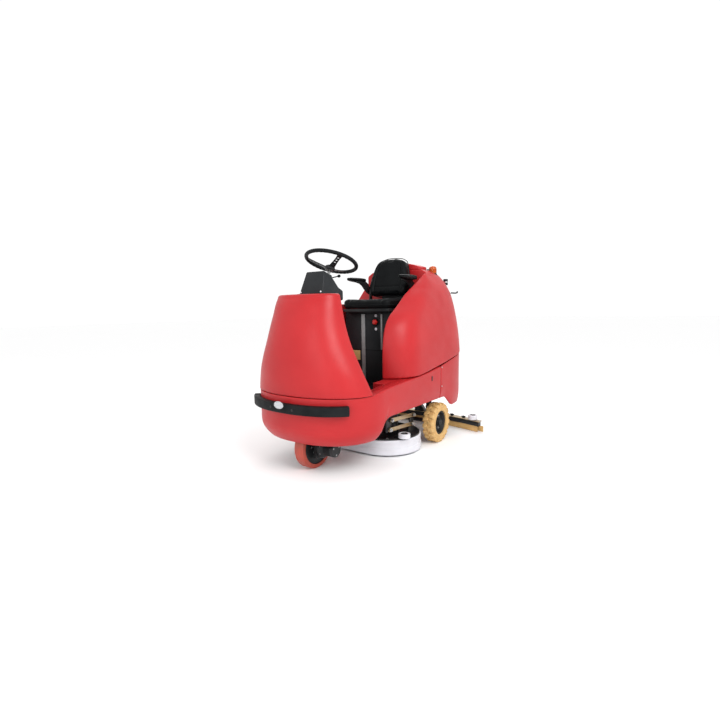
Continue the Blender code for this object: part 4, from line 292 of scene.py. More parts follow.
def makeFinish(name, settings):
    material = bpy.data.materials.new(name)
    material.use_nodes = True
    tree = material.node_tree
    shader = tree.nodes["Principled BSDF"]
    place = tree.nodes.new("ShaderNodeTexCoord")
    mapping = tree.nodes.new("ShaderNodeMapping")
    mapping.inputs["Scale"].default_value = settings.get("stretch", (1.0, 1.0, 1.0))
    tree.links.new(place.outputs["Object"], mapping.inputs["Vector"])

    def noise(scale, detail):
        node = tree.nodes.new("ShaderNodeTexNoise")
        node.inputs["Scale"].default_value = scale
        node.inputs["Detail"].default_value = detail
        tree.links.new(mapping.outputs["Vector"], node.inputs["Vector"])
        return node

    ramp = tree.nodes.new("ShaderNodeValToRGB")
    ramp.color_ramp.elements[0].position = 0.35
    ramp.color_ramp.elements[1].position = 0.68
    ramp.color_ramp.elements[0].color = (*settings["color"], 1.0)
    ramp.color_ramp.elements[1].color = (*settings["tint"], 1.0)
    tree.links.new(noise(settings["tintScale"], 6.0).outputs["Fac"], ramp.inputs["Fac"])
    tree.links.new(ramp.outputs["Color"], shader.inputs["Base Color"])
    spread = tree.nodes.new("ShaderNodeMapRange")
    spread.inputs["From Min"].default_value = 0.3
    spread.inputs["From Max"].default_value = 0.7
    spread.inputs["To Min"].default_value = settings["rough"][0]
    spread.inputs["To Max"].default_value = settings["rough"][1]
    tree.links.new(noise(settings["roughScale"], 4.0).outputs["Fac"], spread.inputs["Value"])
    tree.links.new(spread.outputs["Result"], shader.inputs["Roughness"])
    bump = tree.nodes.new("ShaderNodeBump")
    bump.inputs["Strength"].default_value = 0.6
    bump.inputs["Distance"].default_value = settings["bump"]
    if settings.get("grain"):
        cells = tree.nodes.new("ShaderNodeTexVoronoi")
        cells.feature = "DISTANCE_TO_EDGE"
        cells.inputs["Scale"].default_value = settings["bumpScale"]
        tree.links.new(mapping.outputs["Vector"], cells.inputs["Vector"])
        tree.links.new(cells.outputs["Distance"], bump.inputs["Height"])
    else:
        tree.links.new(noise(settings["bumpScale"], 3.0).outputs["Fac"], bump.inputs["Height"])
    tree.links.new(bump.outputs["Normal"], shader.inputs["Normal"])
    shader.inputs["Metallic"].default_value = settings.get("metal", 0.0)
    shader.inputs["Specular IOR Level"].default_value = settings.get("shine", 0.5)
    shader.inputs["Coat Weight"].default_value = settings.get("coat", 0.0)
    shader.inputs["Transmission Weight"].default_value = settings.get("glass", 0.0)
    materials[name] = material


for finishName, finishSettings in finishes.items():
    makeFinish(finishName, finishSettings)
print("finishes ready")


# Camera, floor and light

view = dict(place=(2.038, -2.839, 1.077), turn=36.446, pitch=6.687, roll=-0.962, lens=22.4828)


def placeCamera():
    turn, pitch, roll = (math.radians(view[key]) for key in ("turn", "pitch", "roll"))
    ahead = Vector((-math.sin(turn) * math.cos(pitch), math.cos(turn) * math.cos(pitch), -math.sin(pitch)))
    right = Vector((math.cos(turn), math.sin(turn), 0.0))
    up = right.cross(ahead)
    rolledRight = right * math.cos(roll) + up * math.sin(roll)
    rolledUp = -right * math.sin(roll) + up * math.cos(roll)
    lens = bpy.data.cameras.new("camera")
    lens.sensor_width = 36.0
    lens.lens = view["lens"]
    lens.clip_end = 200.0
    camera = bpy.data.objects.new("camera", lens)
    bpy.context.collection.objects.link(camera)
    camera.matrix_world = Matrix.Translation(view["place"]) @ Matrix(
        (rolledRight, rolledUp, -ahead)).transposed().to_4x4()
    bpy.context.scene.camera = camera


def placeFloor():
    startFresh()
    bpy.ops.mesh.primitive_plane_add(size=80.0, location=(0, 0, 0))
    floor = bpy.context.object
    floor.name = "floor"
    material = bpy.data.materials.new("floor")
    material.use_nodes = True
    shader = material.node_tree.nodes["Principled BSDF"]
    shader.inputs["Base Color"].default_value = (0.97, 0.97, 0.97, 1.0)
    shader.inputs["Roughness"].default_value = 0.9
    shader.inputs["Specular IOR Level"].default_value = 0.1
    floor.data.materials.append(material)


lamps = (
    dict(name="key", turn=62.0, rise=34.0, away=4.2, size=2.2, power=92.0),
    dict(name="front", turn=8.0, rise=14.0, away=4.6, size=1.6, power=24.0),
    dict(name="back", turn=205.0, rise=40.0, away=4.5, size=2.0, power=34.0),
)


def placeLights():
    world = bpy.data.worlds.new("studio")
    world.use_nodes = True
    tree = world.node_tree
    back = tree.nodes["Background"]
    place = tree.nodes.new("ShaderNodeTexCoord")
    split = tree.nodes.new("ShaderNodeSeparateXYZ")
    ramp = tree.nodes.new("ShaderNodeValToRGB")
    ramp.color_ramp.elements[0].position = 0.32
    ramp.color_ramp.elements[0].color = (1.0, 1.0, 1.0, 1.0)
    ramp.color_ramp.elements[1].position = 0.75
    ramp.color_ramp.elements[1].color = (0.96, 0.96, 0.96, 1.0)
    tree.links.new(place.outputs["Generated"], split.inputs["Vector"])
    tree.links.new(split.outputs["Z"], ramp.inputs["Fac"])
    tree.links.new(ramp.outputs["Color"], back.inputs["Color"])
    back.inputs["Strength"].default_value = 1.05
    bpy.context.scene.world = world
    target = Vector((0, 0, 0.7))
    for lamp in lamps:
        turn, rise = math.radians(lamp["turn"]), math.radians(lamp["rise"])
        away = Vector((math.sin(turn) * math.cos(rise), -math.cos(turn) * math.cos(rise), math.sin(rise)))
        light = bpy.data.lights.new(lamp["name"], "AREA")
        light.shape = "DISK"
        light.size = lamp["size"]
        light.energy = lamp["power"]
        holder = bpy.data.objects.new(lamp["name"], light)
        holder.location = target + away * lamp["away"]
        holder.rotation_euler = (-away).to_track_quat("-Z", "Y").to_euler()
        bpy.context.collection.objects.link(holder)


placeCamera()
placeFloor()
placeLights()
print("camera, floor and light ready")


# Body mouldings: high lofts with rolled edges, in place of the plain CAD skins

body = dict(halfWidth=0.48, noseY=-0.45, noseDepth=0.425, nosePower=2.35, tailY=0.45, tailDepth=0.46,
            tailPower=3.4,
            noseEdge=0.215, sideEdge=0.355, tailEdge=0.262, tuck=0.06, tuckHeight=0.11, wall=0.008,
            coverY=0.335, gap=0.005, floorZ=0.48, footHalf=0.385, footFront=-0.60, footRear=-0.33,
            bayHalf=0.29)
seamKnots = ((-0.58, 0.525), (-0.45, 0.550), (-0.20, 0.565), (0.05, 0.578), (0.30, 0.605), (0.55, 0.648),
             (0.80, 0.690))
cowlLevels = ((0.600, 0.442, 0.276, -0.595, 2.10), (0.680, 0.412, 0.258, -0.612, 2.15),
              (0.760, 0.376, 0.246, -0.620, 2.20), (0.850, 0.333, 0.232, -0.622, 2.30),
              (0.950, 0.298, 0.212, -0.622, 2.35), (1.040, 0.275, 0.188, -0.620, 2.35),
              (1.110, 0.260, 0.168, -0.618, 2.35), (1.145, 0.250, 0.152, -0.616, 2.35))
cowlFoot = (0.530, 0.464, 0.294, -0.575, 2.10)
tankLevels = ((0.700, 0.478, -0.235, 0.440), (0.820, 0.470, -0.230, 0.432), (0.930, 0.455, -0.205, 0.426),
              (1.010, 0.440, -0.150, 0.421), (1.090, 0.422, -0.040, 0.414), (1.170, 0.398, 0.060, 0.404),
              (1.240, 0.366, 0.180, 0.388), (1.300, 0.326, 0.300, 0.364), (1.345, 0.286, 0.370, 0.332),
              (1.375, 0.240, 0.420, 0.290))


def ease(value, start, end):
    share = min(1.0, max(0.0, (value - start) / (end - start)))
    return share * share * (3 - 2 * share)


def smoothRead(knots, value):

    if value <= knots[0][0]:
        return knots[0][1]
    if value >= knots[-1][0]:
        return knots[-1][1]
    for index in range(len(knots) - 1):
        start, end = knots[index], knots[index + 1]
        if value <= end[0]:
            before, after = knots[max(index - 1, 0)], knots[min(index + 2, len(knots) - 1)]
            run = end[0] - start[0]
            share = (value - start[0]) / run
            slopeIn = (end[1] - before[1]) / (end[0] - before[0])
            slopeOut = (after[1] - start[1]) / (after[0] - start[0])
            s2, s3 = share ** 2, share ** 3
            return ((2 * s3 - 3 * s2 + 1) * start[1] + (s3 - 2 * s2 + share) * run * slopeIn
                    + (3 * s2 - 2 * s3) * end[1] + (s3 - s2) * run * slopeOut)


def seamZ(y):
    return smoothRead(seamKnots, y)


def edgeZ(y):
    front = body["noseEdge"] + (body["sideEdge"] - body["noseEdge"]) * ease(y, -0.50, -0.40)
    return front + (body["tailEdge"] - body["sideEdge"]) * ease(y, 0.40, 0.56)


def tuckIn(y, height):
    share = max(0.0, 1 - height / body["tuckHeight"]) ** 2
    return body["tuck"] * share * (1 - 0.8 * ease(y, -0.50, -0.40))


def ovalPoint(angle, halfWidth, depth, power):
    across = math.copysign(abs(math.cos(angle)) ** (2 / power), math.cos(angle))
    along = math.copysign(abs(math.sin(angle)) ** (2 / power), math.sin(angle))
    return halfWidth * across, depth * along


def halfOval(halfWidth, depth, centreY, power, points, front=True):

    side = -1 if front else 1
    pairs = []
    for step in range(points):
        pairs.append(ovalPoint(math.pi * step / (points - 1), halfWidth, depth, power))
    return [(side * x, centreY + side * y) for x, y in pairs]


def insetPath(points, insets):
    moved = []
    for index, (x, y) in enumerate(points):
        before, after = points[max(index - 1, 0)], points[min(index + 1, len(points) - 1)]
        run = Vector((after[0] - before[0], after[1] - before[1])).normalized()
        moved.append((x - run.y * insets[index], y + run.x * insets[index]))
    return moved


def bodyRing(outline, share, inset, lowMargin, top):
    lows = [edgeZ(y) - lowMargin for _, y in outline]
    heights = [low + (top(y) - low) * share for (_, y), low in zip(outline, lows)]
    insets = [inset + tuckIn(y, z - edgeZ(y)) for (_, y), z in zip(outline, heights)]
    return [(x, y, z) for (x, y), z in zip(insetPath(outline, insets), heights)]


def sideRun(start, end, step=0.03):
    count = max(2, round((end - start) / step))
    return [start + (end - start) * index / count for index in range(count + 1)]


def moulded(piece, voxel, passes, keep):

    useOnly(piece)
    piece.data.remesh_voxel_size = voxel
    piece.data.remesh_voxel_adaptivity = 0.0
    bpy.ops.object.voxel_remesh()
    change(piece, "SMOOTH", factor=0.5, iterations=passes)
    if keep < 1.0:
        change(piece, "DECIMATE", ratio=keep)
    useOnly(piece)
    bpy.ops.object.shade_smooth()
    return piece


bodyShares = [0.0, 0.03, 0.06, 0.10, 0.14, 0.20, 0.26, 0.34, 0.42, 0.52, 0.64, 0.76, 0.88, 1.0]


def makeLowerBody():
    def outlineTo(rearY):
        nose = halfOval(body["halfWidth"], body["noseDepth"], body["noseY"], body["nosePower"], 72)
        side = sideRun(body["noseY"], rearY)[1:]
        return ([(-body["halfWidth"], y) for y in reversed(side)] + nose
                + [(body["halfWidth"], y) for y in side])
    outer = outlineTo(body["coverY"] - body["gap"])
    piece = loftPiece("lowerBody", [bodyRing(outer, share, 0.0, 0.0, seamZ) for share in bodyShares],
                      capped=True)
    wall, floorZ = body["wall"], body["floorZ"]
    inner = outlineTo(body["coverY"] + wall)
    hollow = loftPiece("hollow", [bodyRing(inner, share, wall, 2 * wall, lambda y: floorZ - 0.012)
                                  for share in bodyShares], capped=True)
    footwell = boxPiece("footwell", (-body["footHalf"], body["footFront"], floorZ),
                        (body["footHalf"], body["footRear"], 1))
    bay = boxPiece("bay", (-body["bayHalf"], body["footRear"] - wall, floorZ),
                   (body["bayHalf"], body["coverY"] + wall, 1))
    post = rodPiece("post", (0.010, -0.642, 0.44), (0.010, -0.642, 1.0), 0.028)
    cutOut(piece, hollow, footwell, bay, post)
    moulded(piece, 0.0065, 5, 0.55)
    return finished(piece, "red_moulding", "root", "lower_body")


def makeRearCover():
    tail = halfOval(body["halfWidth"], body["tailDepth"], body["tailY"], body["tailPower"], 72, front=False)
    side = sideRun(body["coverY"], body["tailY"], 0.02)[:-1]
    outline = ([(body["halfWidth"], y) for y in side] + tail
               + [(-body["halfWidth"], y) for y in reversed(side)])
    piece = loftPiece("rearCover", [bodyRing(outline, share, 0.0, 0.0, seamZ) for share in bodyShares],
                      openRing=True)
    change(piece, "SOLIDIFY", thickness=body["wall"], offset=-1.0)
    softEdges(piece, 0.003, 3, 50)
    return finished(piece, "red_moulding", "root", "rear_lower_cover")


def cowlRing(z, inset=0.0, points=84):
    knots = [[(level[0], level[part]) for level in (cowlFoot,) + cowlLevels] for part in (1, 2, 3, 4)]
    halfWidth, depth, rearY, power = (smoothRead(knot, z) for knot in knots)
    return halfOval(halfWidth - inset, depth - inset, rearY, power, points)


def makeCowl():
    rings = []
    footZ, firstZ, topZ = cowlFoot[0], cowlLevels[0][0], cowlLevels[-1][0]
    for step in range(5):
        share = step / 5
        z = footZ + (firstZ - footZ) * share
        ring = cowlRing(z)
        rings.append([(x, y, (seamZ(y) + body["gap"]) * (1 - share) + firstZ * share) for x, y in ring])
    for step in range(41):
        z = firstZ + (topZ - firstZ) * step / 40
        rings.append([(x, y, z) for x, y in cowlRing(z)])
    radius = 0.021
    for step in range(1, 7):
        angle = math.radians(90 * step / 6)
        ring = cowlRing(topZ, radius * (1 - math.cos(angle)))
        rings.append([(x, y, topZ + radius * math.sin(angle)) for x, y in ring])
    rearY = cowlLevels[-1][3]
    last = rings[-1]
    for share in (0.94, 0.8, 0.55, 0.3, 0.12, 0.0):
        rings.append([(x * share, rearY + (y - rearY) * share, z - 0.001 * (1 - share)) for x, y, z in last])
    piece = loftPiece("frontCowl", rings, openRing=True)
    change(piece, "SOLIDIFY", thickness=0.007, offset=-1.0)
    softEdges(piece, 0.0022, 3, 50)
    return finished(piece, "red_moulding", "root", "front_cowl")


def tankRing(z, inset, points=56):
    knots = [[(level[0], level[part]) for level in tankLevels] for part in (1, 2, 3)]
    halfWidth, frontY, rearDepth = (smoothRead(knot, z) for knot in knots)
    centre = min(body["tailY"] - 0.02, frontY + 0.30)
    front = halfOval(halfWidth - inset, centre - frontY - inset, centre, 3.0, points)
    rear = halfOval(halfWidth - inset, rearDepth - inset, body["tailY"], 4.0, points, front=False)
    middle = points // 2
    return front[middle:] + rear + front[:middle]


def tankLoft(name, inset):
    low = [tankRing(0.700, inset)]
    rings = [[(x, y, seamZ(y) + body["gap"] + inset) for x, y in low[0]]]
    base = 0.696 + inset
    for step in range(49):
        z = base + (1.375 - inset - base) * step / 48
        rings.append([(x, y, z) for x, y in tankRing(z, inset)])
    return loftPiece(name, rings, capped=True)


tankCuts = dict(bayHalf=0.29, bayRear=0.455, pocketX=0.247, pocketY=0.642, pocketLow=1.333,
                pocketRadius=0.042,
                mouth=((-0.14, 0.49, 1.35), (0.14, 0.578, 1.39)), wingX=-0.29, wingLow=1.10, wingHigh=1.375,
                wingFront=0.44, wingRear=0.58)


def makeTank():
    piece = tankLoft("recoveryTank", 0.0)
    hollow = tankLoft("tankHollow", body["wall"])
    wall = body["wall"]
    x, y, radius = tankCuts["pocketX"], tankCuts["pocketY"], tankCuts["pocketRadius"]

    def bayBlock(margin):
        half = tankCuts["bayHalf"] + margin
        return boxPiece("bay", (-half, -1, 0), (half, tankCuts["bayRear"] + margin, 2))

    def lowWing(drop):
        low, high = tankCuts["wingLow"] - drop, tankCuts["wingHigh"] - drop
        front, rear = tankCuts["wingFront"] + drop, tankCuts["wingRear"] + drop
        profile = ((-1, low), (front, low), (rear, high), (rear, 2), (-1, 2))
        return outlinePiece("lowWing", profile, "x", -1.0, tankCuts["wingX"] + drop)

    guard = rodPiece("guard", (x, y, tankCuts["pocketLow"] - wall), (x, y, 2), radius + wall, 48)
    cutOut(hollow, bayBlock(wall), lowWing(wall), guard)
    mouth = boxPiece("mouth", *tankCuts["mouth"])
    pocket = rodPiece("pocket", (x, y, tankCuts["pocketLow"]), (x, y, 2), radius, 48)
    cutOut(piece, bayBlock(0.0), lowWing(0.0), hollow, mouth, pocket)
    moulded(piece, 0.0065, 7, 0.5)
    return finished(piece, "red_moulding", "root", "recovery_tank")


lid = dict(half=0.212, low=1.3753, side=1.402, crown=0.040, front=0.462, rear=0.600, edge=0.007,
           hollow=((-0.19, 0.48, 1.3), (0.19, 0.582, 1.388)))


def makeLid():
    outline = [(-lid["half"], lid["low"]), (lid["half"], lid["low"])]
    for step in range(25):
        share = 1 - step / 12
        outline.append((lid["half"] * share, lid["side"] + lid["crown"] * (1 - share ** 2)))
    piece = outlinePiece("tankLid", outline, "y", lid["front"], lid["rear"])
    hollow = boxPiece("lidHollow", *lid["hollow"])
    cutOut(piece, hollow)
    softEdges(piece, lid["edge"], 4, 40)
    return finished(piece, "red_moulding", "lid", "tank_lid")


makeLowerBody()
makeRearCover()
makeCowl()
makeTank()
makeLid()
print("body mouldings ready")


# CAD pieces whose shape is right: a copy is merged, its edges are softened and it gets its finish

def refined(node, width=0.0015, segments=2):
    piece = bpy.data.objects.new(node + "Soft", nodes[node].data.copy())
    bpy.context.collection.objects.link(piece)
    useOnly(piece)
    bpy.ops.object.mode_set(mode="EDIT")
    bpy.ops.mesh.select_all(action="SELECT")
    bpy.ops.mesh.remove_doubles(threshold=0.00001)
    bpy.ops.mesh.dissolve_limited(angle_limit=math.radians(1.0))
    bpy.ops.object.mode_set(mode="OBJECT")
    return softEdges(piece, width, segments, 40)


softened = {
    "black_paint": dict(chassis_frame=0.002, steering_column=0.001, steering_gearbox=0.003, steer_fork=0.003,
                        drive_hub=0.002, rear_hub_left=0.002, rear_hub_right=0.002, deck_plate=0.0015,
                        brush_motor_left=0.003, brush_motor_right=0.003, squeegee_swivel=0.002,
                        squeegee_arm=0.002,
                        squeegee_body=0.003, seat_frame=0.0015, direction_lever=0.0006),
    "charcoal_plastic": dict(knee_panel=0.0015, solution_cap=0.003, vacuum_motor=0.003, seat_plate=0.003,
                             battery_box=0.003),
    "natural_tank": dict(solution_tank=0.004),
    "battery_case": dict(traction_battery=0.003),
    "steel": dict(pedal_shaft=0.0006, steering_shaft=0.0006, key_switch=0.0008),
    "yellow_zinc": dict(lower_link_left=0.0018, lower_link_right=0.0018, upper_link_left=0.0018,
                        upper_link_right=0.0018, squeegee_plate=0.0010),
    "tan_rubber": dict(blade_front=0.0008, blade_rear=0.0008),
    "black_rubber": dict(accelerator_pedal=0.0015),
    "red_button": dict(stop_button=0.0025),
}
for finishName, group in softened.items():
    for node, width in group.items():
        finished(refined(node, width), finishName, bodyOf[node], node)
print("CAD pieces softened")


# Bolts, collected body by body

bolts = {}


def boltAt(bodyName, place, direction, radius=0.007, height=0.005, finish="steel"):
    head = rodPiece("bolt", (0, 0, 0.0012), (0, 0, height), radius, 6)
    washer = rodPiece("washer", (0, 0, -0.001), (0, 0, 0.0014), radius * 1.35, 20)
    bolt = joined("bolt", head, washer)
    bolt.data.transform(alongAxis(place, direction))
    bolts.setdefault((bodyName, finish), []).append(bolt)


def gatherBolts():
    for (bodyName, finish), group in bolts.items():
        piece = joined("bolts_" + bodyName + ("" if finish == "steel" else "_dark"), *group)
        softEdges(piece, 0.0006, 2, 30)
        finished(piece, finish, bodyName)


# Steering wheel, console and lever

wheel = dict(y=-0.395, z=1.394, radius=0.190, tube=0.0135, dish=0.050, lean=20.3, hub=0.036,
             spokeHole=0.0062, holes=(0.070, 0.096, 0.122), spokeTurns=(90, 210, 330), spokeHalf=0.0025,
             spoke=((0, 0.021), (0.2, 0.020), (0.45, 0.0165), (0.7, 0.0155), (0.88, 0.018), (1, 0.026)),
             swells=36, swell=0.10, hubDrop=0.015,
             hubProfile=((0.0, 0.0), (0.027, 0.0), (0.030, 0.003), (0.035, 0.010), (0.036, 0.014),
                         (0.034, 0.026),
                         (0.030, 0.030), (0.0, 0.030)),
             capProfile=((0.0, 0.0302), (0.024, 0.0302), (0.024, 0.033), (0.021, 0.0355), (0.010, 0.0375),
                         (0.0, 0.038)))
wheelPlace = (Matrix.Translation((0, wheel["y"], wheel["z"]))
              @ Matrix.Rotation(math.radians(-wheel["lean"]), 4, "X"))


def makeSteeringWheel():
    startFresh()
    bpy.ops.mesh.primitive_torus_add(major_radius=wheel["radius"] - wheel["tube"], minor_radius=wheel["tube"],
                                     major_segments=144, minor_segments=24)
    rim = bpy.context.object
    for vertex in rim.data.vertices:      # shallow finger swells on the underside
        angle = math.atan2(vertex.co.y, vertex.co.x)
        if vertex.co.z < 0:
            vertex.co.z *= 1 - wheel["swell"] * (0.5 + 0.5 * math.cos(angle * wheel["swells"]))
    rim.data.transform(wheelPlace)
    rim.name = "steeringRim"
    shadeRound(rim, 60)
    finished(rim, "black_rubber", "steering", "steering_wheel")
    spokes = []
    reach = wheel["radius"] - wheel["tube"]
    start = wheel["hub"] * 0.5
    slope = math.atan2(wheel["dish"], reach - start)
    length = math.hypot(reach - start, wheel["dish"])
    for turn in wheel["spokeTurns"]:
        outline = [(share * length, half) for share, half in wheel["spoke"]]
        outline += [(x, -y) for x, y in reversed(outline)]
        spoke = outlinePiece("spoke", outline, "z", -wheel["spokeHalf"], wheel["spokeHalf"])
        cutOut(spoke, *[rodPiece("spokeHole", (x, 0, -0.02), (x, 0, 0.02), wheel["spokeHole"])
                        for x in wheel["holes"]])
        softEdges(spoke, 0.001, 2, 40)
        place = Matrix.Rotation(math.radians(turn), 4, "Z") @ Matrix.Translation((start, 0, -wheel["dish"]))
        spoke.data.transform(wheelPlace @ place @ Matrix.Rotation(-slope, 4, "Y"))
        spokes.append(spoke)
    low = -wheel["dish"] - wheel["hubDrop"]
    hub = spunPiece("hub", [(r, low + z) for r, z in wheel["hubProfile"]], (0, 0, 0), steps=64)
    hub.data.transform(wheelPlace)
    shadeRound(hub, 30)
    finished(joined("steeringSpokes", *spokes, hub), "black_paint", "steering")
    cap = spunPiece("hubCap", [(r, low + z) for r, z in wheel["capProfile"]], (0, 0, 0), steps=48)
    cap.data.transform(wheelPlace)
    finished(shadeRound(cap, 30), "steel", "steering")


console = dict(half=0.106, topHalf=0.080, profile=((-0.614, 1.126), (-0.400, 1.126), (-0.400, 1.192),
               (-0.447, 1.214), (-0.500, 1.296), (-0.566, 1.322), (-0.614, 1.176)), round=0.011,
               inner=((-0.604, 1.09), (-0.410, 1.09), (-0.410, 1.186), (-0.455, 1.206), (-0.507, 1.287),
                      (-0.562, 1.309), (-0.604, 1.176)), innerHalf=0.096, leanFrom=1.192, leanTo=1.322,
               columnHole=0.028, columnFrom=-0.66, columnTo=-0.05, keyHole=0.0055,
               keyStart=(0.058, -0.43, 1.159), keyEnd=(0.058, -0.37, 1.159), gaiterDrop=-0.200,
               gaiter=((0.0265, 0.0), (0.046, 0.0), (0.046, 0.004), (0.040, 0.008), (0.0405, 0.011),
                       (0.036, 0.015),
                       (0.0365, 0.018), (0.031, 0.023), (0.0265, 0.025)),
               foot=((-0.625, 1.1665), (-0.625, 1.1725), (-0.609, 1.1725), (-0.609, 1.1665)), footHalf=0.112,
               stud=((0.0, 0.0), (0.006, 0.0), (0.006, 0.002), (0.004, 0.004), (0.0, 0.0045)),
               studX=0.088, studY=-0.6145, studZ=1.182)


def narrowConsole(piece):
    for vertex in piece.data.vertices:
        share = ease(vertex.co.z, console["leanFrom"], console["leanTo"])
        vertex.co.x *= 1 + (console["topHalf"] / console["half"] - 1) * share


def makeConsole():
    piece = outlinePiece("console", console["profile"], "x", -console["half"], console["half"])
    narrowConsole(piece)
    softEdges(piece, console["round"], 5, 25)
    hollow = outlinePiece("consoleHollow", console["inner"], "x", -console["innerHalf"], console["innerHalf"])
    narrowConsole(hollow)
    columnLow = wheelPlace @ Vector((0, 0, console["columnFrom"]))
    columnHigh = wheelPlace @ Vector((0, 0, console["columnTo"]))
    hole = rodPiece("columnHole", columnLow, columnHigh, console["columnHole"], 48)
    keyHole = rodPiece("keyHole", console["keyStart"], console["keyEnd"], console["keyHole"])
    cutOut(piece, hollow, hole, keyHole)
    shadeRound(piece, 40)
    finished(piece, "charcoal_plastic", "root", "steering_console")
    collar = spunPiece("columnGaiter", console["gaiter"], (0, 0, 0), steps=48, ring=True)
    collar.data.transform(wheelPlace @ Matrix.Translation((0, 0, console["gaiterDrop"])))
    finished(shadeRound(collar, 30), "black_rubber", "root")
    flange = outlinePiece("consoleFoot", console["foot"], "x", -console["footHalf"], console["footHalf"])
    finished(softEdges(flange, 0.0015, 2), "black_rubber", "root")
    for side in (-1, 1):
        place = (side * console["studX"], console["studY"], console["studZ"])
        stud = spunPiece("consoleStud", console["stud"], place, (0, -1, 0.3), steps=20)
        finished(shadeRound(stud, 40), "white_plastic", "root")


lever = dict(end=(0.096, 0.0, -0.112), direction=(1, 0, 0.15),
             knob=((0.0, -0.012), (0.005, -0.011), (0.0095, -0.005), (0.0105, 0.002), (0.008, 0.009),
                   (0.004, 0.0115), (0.0, 0.012)))


def makeLeverKnob():
    knob = spunPiece("leverKnob", lever["knob"], wheelPlace @ Vector(lever["end"]),
                     wheelPlace.to_3x3() @ Vector(lever["direction"]), steps=32)
    finished(shadeRound(knob, 60), "black_rubber", "lever")


makeSteeringWheel()
makeConsole()
makeLeverKnob()
print("steering ready")


# Seat: cushions swell under cloth pressure, then get their channels and piping

swell = dict(force=4.0, quality=4, frames=20, smooth=0.5, passes=4)


def plump(piece, voxel, cap):
    useOnly(piece)
    piece.data.remesh_voxel_size = voxel
    bpy.ops.object.voxel_remesh()
    change(piece, "SMOOTH", factor=swell["smooth"], iterations=swell["passes"])
    start = [vertex.co.copy() for vertex in piece.data.vertices]
    useOnly(piece)
    cloth = piece.modifiers.new("Cloth", "CLOTH")
    cloth.settings.use_pressure = True
    cloth.settings.uniform_pressure_force = swell["force"]
    cloth.settings.effector_weights.gravity = 0.0
    cloth.settings.quality = swell["quality"]
    cloth.point_cache.frame_start = 1
    cloth.point_cache.frame_end = swell["frames"]
    for step in range(1, swell["frames"] + 1):
        bpy.context.scene.frame_set(step)
    bpy.ops.object.modifier_apply(modifier="Cloth")
    bpy.context.scene.frame_set(1)
    for vertex, old in zip(piece.data.vertices, start):
        move = vertex.co - old
        if move.length > cap:
            vertex.co = old + move * (cap / move.length)
    change(piece, "SUBSURF", levels=1, render_levels=1)
    useOnly(piece)
    bpy.ops.object.shade_smooth()
    return piece


def roundedOutline(halfX, lowY, highY, corner, steps=8):
    outline = []
    for cx, cy, start in ((halfX - corner, highY - corner, 0), (-halfX + corner, highY - corner, 90),
                          (-halfX + corner, lowY + corner, 180), (halfX - corner, lowY + corner, 270)):
        for step in range(steps + 1):
            angle = math.radians(start + 90 * step / steps)
            outline.append((cx + corner * math.cos(angle), cy + corner * math.sin(angle)))
    return outline


cushion = dict(half=0.228, front=-0.024, rear=0.344, low=1.0660, high=1.128, corner=0.055, cap=0.010,
               seam=0.150, seamDepth=0.006, seamWidth=0.009, edge=0.020, voxel=0.006, fill=0.85, faceZ=1.10,
               dish=0.010, dishWidth=0.12, lift=0.006, pipingOut=0.005, pipingZ=1.092, piping=0.0032)


def makeCushion():
    outline = roundedOutline(cushion["half"], cushion["front"], cushion["rear"], cushion["corner"])
    piece = outlinePiece("seatCushion", outline, "z", cushion["low"], cushion["high"])
    softEdges(piece, cushion["edge"], 5, 40)
    plump(piece, cushion["voxel"], cushion["cap"])
    for vertex in piece.data.vertices:
        co = vertex.co
        if co.z < cushion["low"]:
            co.z = cushion["low"]
        if co.z > cushion["faceZ"]:
            near = math.exp(-((abs(co.x) - cushion["seam"]) / cushion["seamWidth"]) ** 2)
            dish = cushion["dish"] * math.exp(-(co.x / cushion["dishWidth"]) ** 2) * ease(co.y, -0.02, 0.16)
            lift = cushion["lift"] * ease(abs(co.x), cushion["seam"], cushion["seam"] + 0.05)
            co.z += lift - dish - cushion["seamDepth"] * near
    finished(piece, "black_vinyl", "seat", "seat_cushion")
    out = cushion["pipingOut"]
    edge = roundedOutline(cushion["half"] + out, cushion["front"] - out, cushion["rear"] + out,
                          cushion["corner"], 4)
    path = [(x, y, cushion["pipingZ"]) for x, y in edge]
    piping = tubePiece("cushionPiping", path, cushion["piping"], closed=True)
    finished(piping, "black_vinyl", "seat")


backrest = dict(foot=(0.0, 0.285, 1.170), lean=16.0, thick=0.064, cap=0.010,
                outline=((0.172, 0.006), (0.186, 0.06), (0.186, 0.10), (0.178, 0.165), (0.156, 0.245),
                         (0.126, 0.308), (0.088, 0.326)))
backPlace = Matrix.Translation(backrest["foot"]) @ Matrix.Rotation(math.radians(-backrest["lean"]), 4, "X")


def backHalf(z):
    return smoothRead([(height, half) for half, height in backrest["outline"]], z)


